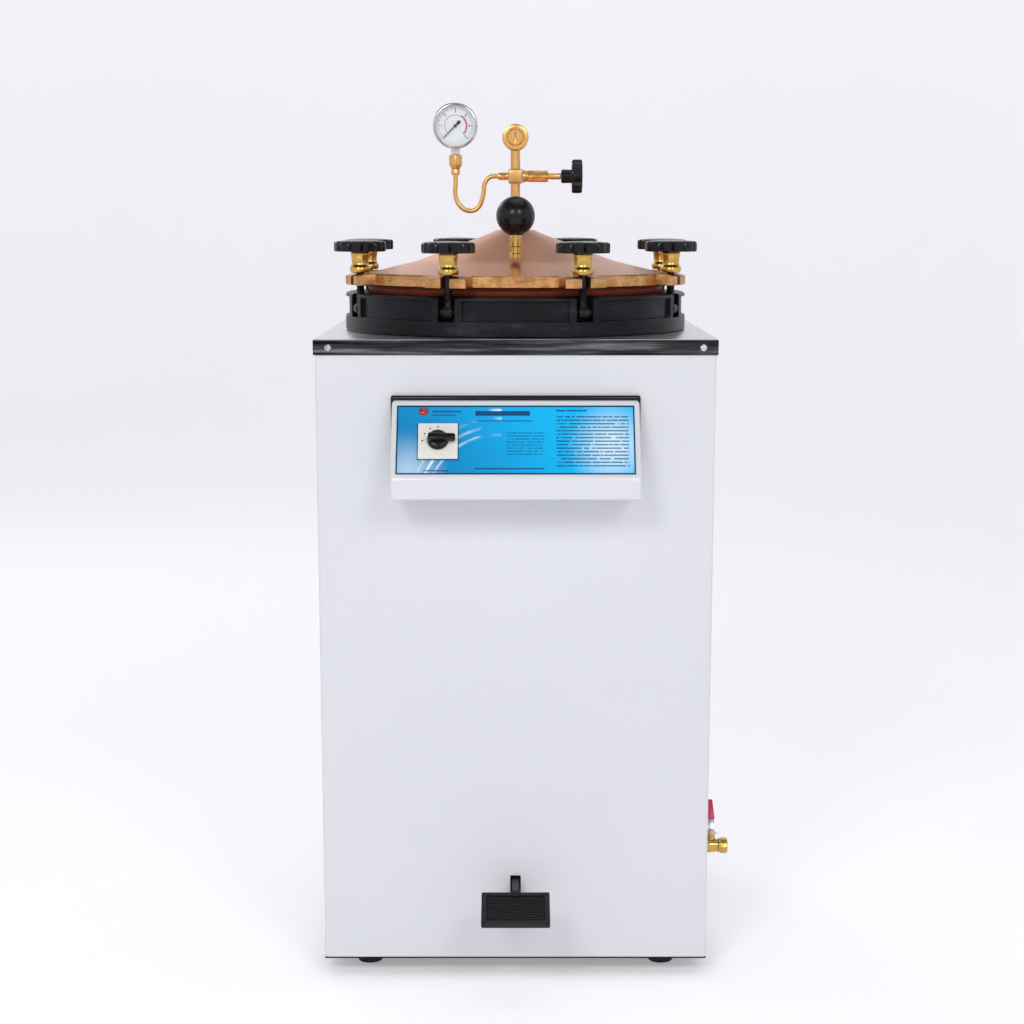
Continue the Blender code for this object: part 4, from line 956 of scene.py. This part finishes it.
def vent_valve(gold, black):
    low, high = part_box("vent_valve_body")
    centre = (low + high) / 2
    along = Matrix.Translation(centre) @ turned(90, "Y")
    length = high.x - low.x
    bore = rod(0.0040, 0.012, 32, along @ Matrix.Translation((0, 0, length / 2 - 0.004)))
    body = carved(
        rod(0.0062, length, 48, along, 0.0004),
        [hexagon(0.0077, length - 0.0065, along @ Matrix.Translation((0, 0, 0.003)), 0.0007),
         rod(0.0072, 0.0022, 48, along @ Matrix.Translation((0, 0, -length / 2 + 0.0014)), 0.0004)],
        "UNION",
    )
    piece("vent_body", carved(body, [bore]), gold, "lid", ["vent_valve_body"])
    low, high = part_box("vent_stem")
    along = Matrix.Translation((low + high) / 2) @ turned(90, "Y")
    spindle = rod(0.0036, high.x - low.x, 48, along, 0.0004)
    piece("vent_spindle_rod", spindle, gold, "vent_spindle", ["vent_stem"])
    low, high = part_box("vent_knob")
    along = Matrix.Translation((low.x, AXIS.y, CROSS.z)) @ turned(90, "Y")
    total, thick = high.x - low.x, 0.0125
    hub = lathe([
        (0, total - 0.001), (0.009, total - 0.001), (0.0078, 0.010), (0.0080, 0.0015), (0.0070, 0), (0, 0),
    ], 64, along)
    head = lobed(0.0195, 0.0034, 8, thick, 0.0026, along @ Matrix.Translation((0, 0, total - thick)))
    cap = lathe([(0, 0.0012), (0.006, 0.001), (0.0072, 0), (0.0072, -0.001), (0, -0.001)], 48)
    cap.transform(along @ Matrix.Translation((0, 0, total - 0.0010)))
    knob = joined([carved(head, [hub], "UNION"), cap])
    piece("vent_hand_knob", knob, black, "vent_spindle", ["vent_knob"])


def lobed(radius, depth, lobes, thickness, round_by, place):
    """A lobed disc with rounded edges, standing on its place."""
    bm = bmesh.new()
    bmesh.ops.create_circle(bm, cap_ends=True, segments=lobes * 12, radius=radius)
    for vert in bm.verts:
        turn = math.atan2(vert.co.y, vert.co.x)
        vert.co.xy *= (radius - depth * (0.5 - 0.5 * math.cos(lobes * turn)) ** 1.6) / radius
    raised = bmesh.ops.extrude_face_region(bm, geom=list(bm.faces))
    top = [v for v in raised["geom"] if isinstance(v, bmesh.types.BMVert)]
    bmesh.ops.translate(bm, verts=top, vec=(0, 0, thickness))
    bmesh.ops.recalc_face_normals(bm, faces=bm.faces)
    soften(bm, round_by, 3, 60)
    bm.transform(place)
    return bm


# ---- console -----------------------------------------------------------------------------
def console(white, dark, cream, black, lamp_red, steel):
    low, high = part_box("console_housing")
    top_reach = 0.016
    back, front = high.y, low.y
    edge_z = 0.585
    shape = [(back, high.z), (back - top_reach, high.z), (front, edge_z), (front, low.z), (back, low.z)]
    bm = bmesh.new()
    face = bm.faces.new([bm.verts.new((low.x, y, z)) for y, z in shape])
    raised = bmesh.ops.extrude_face_region(bm, geom=[face])
    moved = [v for v in raised["geom"] if isinstance(v, bmesh.types.BMVert)]
    bmesh.ops.translate(bm, verts=moved, vec=(high.x - low.x, 0, 0))
    bmesh.ops.recalc_face_normals(bm, faces=bm.faces)
    edges = [e for e in bm.edges if min(v.co.y for v in e.verts) < back - 0.001]
    bmesh.ops.bevel(
        bm, geom=edges, offset=0.0032, offset_type="OFFSET", segments=4, profile=0.5,
        affect="EDGES", clamp_overlap=True, material=-1,
    )
    piece("console_shell", bm, white, "cabinet", ["console_housing"])
    # Dark strip along the console's back edge. It is partly a real seal, and it is made taller and wider so
    # that it also stands in for the shadow gap there, as painted shade.
    seal_shade_low, seal_shade_high = 0.600, high.z + 0.0052
    seal_and_shade = block(
        (high.x - low.x + 0.004, 0.0055, seal_shade_high - seal_shade_low),
        Matrix.Translation(((low.x + high.x) / 2, back - 0.0027, (seal_shade_low + seal_shade_high) / 2)), 0.0026, 3,
    )
    piece("console_seal_and_shadow_gap", seal_and_shade, dark, "cabinet")
    coat("console_overlay", overlay_print(*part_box("console_overlay")))

    up = Vector((0, back - top_reach - front, high.z - edge_z)).normalized()
    out = Vector((1, 0, 0)).cross(up)
    tilt = Matrix((Vector((1, 0, 0)), up, out)).transposed().to_4x4()

    def on_face(node, lift=0.0):
        """A frame on the sloping face, at a node's middle."""
        return Matrix.Translation(middle(node) + out * lift) @ tilt

    pivot = Vector(JOINTS["heat_selector_turn"]["pos_m"])
    base = Matrix.Translation(pivot) @ tilt
    plate_top = 0.0041
    plate = block((0.043, 0.043, 0.0028), base @ Matrix.Translation((0, 0, plate_top - 0.0014)), 0.0009, 3)
    piece("selector_plate", plate, cream, "cabinet", ["switch_plate"])
    rim = block((0.0446, 0.0446, 0.0010), base @ Matrix.Translation((0, 0, 0.0017)), 0.0004, 2)
    piece("selector_plate_rim", rim, dark, "cabinet")
    dots = []
    for angle in (180, 150, 120, 90, 30):
        turn = math.radians(angle)
        spot = Matrix.Translation((0.0168 * math.cos(turn), 0.0168 * math.sin(turn), plate_top))
        dots.append(rod(0.0009, 0.0002, 20, base @ spot))
    piece("selector_dots", joined(dots), dark, "cabinet")
    knob = lathe([
        (0, 0.0062), (0.0085, 0.0060), (0.0105, 0.0050),
        (0.0115, 0.0032), (0.0115, 0.0008), (0.0112, 0), (0, 0),
    ], 72, base @ Matrix.Translation((0, 0, plate_top + 0.0004)))
    grip = block((0.0295, 0.0068, 0.0100), Matrix(), 0.0022, 4)
    for vert in grip.verts:
        vert.co.y *= 1.25 - 22 * vert.co.x * (1 if vert.co.x > 0 else 0.2)
    grip.transform(base @ Matrix.Translation((0.0043, 0, plate_top + 0.0078)))
    knob = carved(knob, [grip], "UNION")
    piece("selector_grip", knob, black, "selector", ["selector_knob"])
    lens = lathe([
        (0, 0.0036), (0.0022, 0.0033), (0.0038, 0.0024), (0.0046, 0.001), (0.0046, -0.0015), (0, -0.0015),
    ], 48, on_face("pilot_lamp", -0.0010))
    piece("lamp_lens", lens, lamp_red, "cabinet", ["pilot_lamp"])
    bezel = lathe([
        (0.0047, 0.0012), (0.0054, 0.0012), (0.0057, 0.0006), (0.0057, -0.0006), (0.0047, -0.0006),
    ], 48, on_face("pilot_lamp", -0.0006))
    piece("lamp_bezel", bezel, steel, "cabinet")


# ---- drain -------------------------------------------------------------------------------
DRAIN = middle("drain_valve_body")
DRAIN_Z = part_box("drain_valve_body")[0].z + 0.0093


def drain(gold, steel, red):
    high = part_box("drain_valve_body")[1]
    wall = WRAP_HIGH.x
    along = Matrix.Translation((wall, DRAIN.y, DRAIN_Z)) @ turned(90, "Y")
    reach = high.x - wall
    body = lathe([
        (0, reach - 0.012), (0.0062, reach - 0.012),
        (0.0064, reach - 0.0004), (0.0070, reach), (0.0080, reach),
        (0.0084, reach - 0.0005), (0.0084, reach - 0.010),
        (0.0072, reach - 0.0115), (0.0080, 0.0125), (0.0086, 0.009),
        (0.0080, 0.0040), (0.0074, 0.0012), (0.0074, 0.0004),
        (0.0060, 0.0004), (0.0060, -0.0025), (0, -0.0025),
    ], 64, along)
    ring = hexagon(0.0096, 0.0075, along @ Matrix.Translation((0, 0, reach - 0.0045)), 0.0006)
    hollow = rod(0.0063, 0.02, 48, along @ Matrix.Translation((0, 0, reach - 0.002)))
    neck_x = wall + 0.0105
    neck = lathe([
        (0, 0.0155), (0.0042, 0.0155), (0.0045, 0.0145), (0.0045, 0.0105), (0.0052, 0.008), (0, 0.006),
    ], 40)
    neck.transform(Matrix.Translation((neck_x, DRAIN.y, DRAIN_Z)))
    body = carved(carved(body, [ring, neck], "UNION"), [hollow])
    piece("drain_body", body, gold, "cabinet", ["drain_valve_body"])

    pivot = Vector(JOINTS["drain_lever_turn"]["pos_m"])
    base = Matrix.Translation(pivot)
    washer = lathe([(0, 0.0012), (0.0056, 0.0012), (0.0056, 0), (0, 0)], 40, base)
    nut = rod(0.0040, 0.0030, 6, base @ Matrix.Translation((0, 0, 0.0024)), 0.0004)
    ledge = base @ Matrix.Translation((0.0058, -0.0015, -0.0003)) @ turned(25, "Y")
    stop = block((0.003, 0.0045, 0.0012), ledge, 0.0004, 2)
    rise = base @ Matrix.Translation((0, 0.002, 0.0008)) @ turned(58, "X")
    strap = block((0.0080, 0.026, 0.0014), rise @ Matrix.Translation((0, 0.011, 0)), 0.0005, 2)
    piece("lever_plate", joined([washer, nut, stop, strap]), steel, "drain_handle")
    grip = block((0.0098, 0.0245, 0.0042), Matrix(), 0.0018, 4)
    for vert in grip.verts:
        share = vert.co.y / 0.0245 + 0.5
        vert.co.x *= 1.0 - 0.42 * share ** 2.2
    grip.transform(rise @ Matrix.Translation((0, 0.0265, 0)))
    piece("lever_grip", grip, red, "drain_handle", ["drain_lever"])


# ---- pedal -------------------------------------------------------------------------------
def pedal(steel, rubber):
    coat("pedal_arm", steel)
    low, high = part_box("pedal_pad")
    size = Vector((high.x - low.x, 0.052, 0.008))
    tilt = Matrix.Translation(middle("pedal_pad")) @ turned(22, "X")
    plate = block(size - Vector((0, 0, 0.0025)), tilt @ Matrix.Translation((0, 0, -0.00125)), 0.0016, 3)
    rim = []
    for side in (-1, 1):
        place = tilt @ Matrix.Translation((side * (size.x / 2 - 0.00275), 0, 0.0019))
        rim.append(block((0.0055, size.y, 0.0042), place, 0.0012, 3))
    for side in (-1, 1):
        place = tilt @ Matrix.Translation((0, side * (size.y / 2 - 0.0025), 0.0019))
        rim.append(block((size.x - 0.004, 0.0050, 0.0042), place, 0.0012, 3))
    ribs = []
    for n in range(10):
        place = tilt @ Matrix.Translation((0, 0.0038 * (n - 4.5), 0.0018))
        ribs.append(block((size.x - 0.0125, 0.0021, 0.0022), place, 0.0006, 2))
    piece("pedal_tread", joined([plate, *rim, *ribs]), rubber, "pedal", ["pedal_pad"])
    neck = block((0.0098, 0.010, 0.010), tilt @ Matrix.Translation((0, size.y / 2 - 0.002, 0.0)), 0.002, 3)
    piece("pedal_bracket", neck, steel, "pedal")


# ---- stage -------------------------------------------------------------------------------
def stage():
    """A pale floor that curves up into a round wall, open above."""
    reach, bend, wall = 6.0, 2.0, 5.0
    outline = [(reach - bend + bend * math.sin(t), bend - bend * math.cos(t))
               for t in (math.pi / 2 * n / 12 for n in range(13))]
    bm = bmesh.new()
    verts = [bm.verts.new((r, 0, z)) for r, z in [(0, 0), *outline, (reach, wall)]]
    edges = [bm.edges.new(pair) for pair in zip(verts, verts[1:])]
    bmesh.ops.spin(bm, geom=verts + edges, axis=(0, 0, 1), steps=96, angle=math.tau, use_merge=True)
    bmesh.ops.remove_doubles(bm, verts=bm.verts, dist=0.0001)
    floor = bpy.data.objects.new("studio_floor", mesh_from("studio_floor", bm))
    bpy.context.scene.collection.objects.link(floor)
    paint = Paint("studio_grey", Roughness=0.9, Specular_IOR_Level=0.1, Emission_Strength=0.30)
    cloud = paint.noise(1.5, paint.place(), 2)
    paint.feed("Base Color", paint.mix(cloud, (0.84, 0.83, 0.87), (0.87, 0.86, 0.90)))
    floor.data.materials.append(paint.material)

    world = bpy.data.worlds.new("studio")
    world.use_nodes = True
    world.node_tree.nodes["Background"].inputs["Color"].default_value = (0.93, 0.94, 1.0, 1)
    world.node_tree.nodes["Background"].inputs["Strength"].default_value = 0.24
    bpy.context.scene.world = world
    bpy.context.scene.view_settings.view_transform = "Standard"
    softboxes = [
        ("key", (-1.1, -3.0, 2.3), 0.9, 27), ("fill", (1.2, -2.9, 2.2), 0.9, 20),
        ("rear", (-1.6, 2.6, 2.6), 1.6, 16), ("over", (0.3, 0.2, 3.6), 2.4, 17),
    ]
    for name, place, size, power in softboxes:
        light = bpy.data.lights.new(name, "AREA")
        light.size = size
        light.energy = power
        lamp = bpy.data.objects.new(name, light)
        bpy.context.scene.collection.objects.link(lamp)
        lamp.location = place
        aim = Vector((AXIS.x, AXIS.y, 0.6)) - Vector(place)
        lamp.rotation_euler = aim.to_track_quat("-Z", "Y").to_euler()


def camera():
    distance, above_top, tilt, lens = 2.25, 0.135, 10.9, 72.0
    view = bpy.data.cameras.new("camera")
    view.lens = lens
    view.sensor_width = 36
    view.shift_y = 0.0935
    eye = bpy.data.objects.new("camera", view)
    bpy.context.scene.collection.objects.link(eye)
    eye.location = (AXIS.x - 0.004, WRAP_LOW.y - distance, PLATE_HIGH.z + above_top)
    eye.rotation_euler = (math.radians(90 - tilt), 0, 0)
    bpy.context.scene.camera = eye


JOINTS = {joint["name"]: joint for joint in frame["joints"]}
PEDAL_SLOT = (
    Vector((AXIS.x - 0.006, WRAP_LOW.y - 0.005, 0.0686)), Vector((AXIS.x + 0.006, WRAP_LOW.y + 0.005, 0.119)),
)


def build():
    camera()
    stage()
    # steel and bright_steel come from stainless(), so their base colour carries painted reflection streaks.
    white, steel, cast, dark = enamel(), stainless(), cast_black(), black_steel()
    brushed, gold, black, rubber = plate_steel(), brass(), black_gloss(), black_rubber()
    pale_gold = brass("hub_brass", (0.46, 0.27, 0.055), (0.72, 0.47, 0.14), 0.14)
    skin, filed = bronze_skin(), bronze_flange()
    bright = stainless("bright_steel", (3, 3, 3), (0.42, 0.42, 0.43), (0.66, 0.66, 0.67))
    red = moulded("red_grip", (0.42, 0.01, 0.04), (0.62, 0.03, 0.07), 0.28)
    cream = moulded("cream_plate", (0.70, 0.69, 0.62), (0.78, 0.77, 0.70))
    paper = moulded("dial_paper", (0.80, 0.84, 0.85), (0.86, 0.89, 0.90), 0.45)
    ink = moulded("dial_ink", (0.01, 0.01, 0.012), (0.02, 0.02, 0.022))
    arc = moulded("dial_red", (0.62, 0.03, 0.06), (0.70, 0.05, 0.08))
    cabinet(white, dark, rubber)
    top_sheet(steel, brushed, bright)
    collar(cast)
    gasket(red_rubber())
    lid(skin, filed)
    clamps(black, pale_gold, dark)
    handle(pale_gold, black)
    column(gold)
    siphon(gold)
    gauge(bright, paper, ink, arc, clear_lens())
    vent_valve(gold, black)
    console(white, black, cream, black, red_glass(), bright)
    drain(pale_gold, bright, red)
    pedal(dark, rubber)
    for node in ("chamber", "lift_post", "pedal_axle"):
        coat(node, brushed)
    coat("lid_arm", filed)
    coat("drain_pipe", gold)
    coat("heating_element", dark)


build()
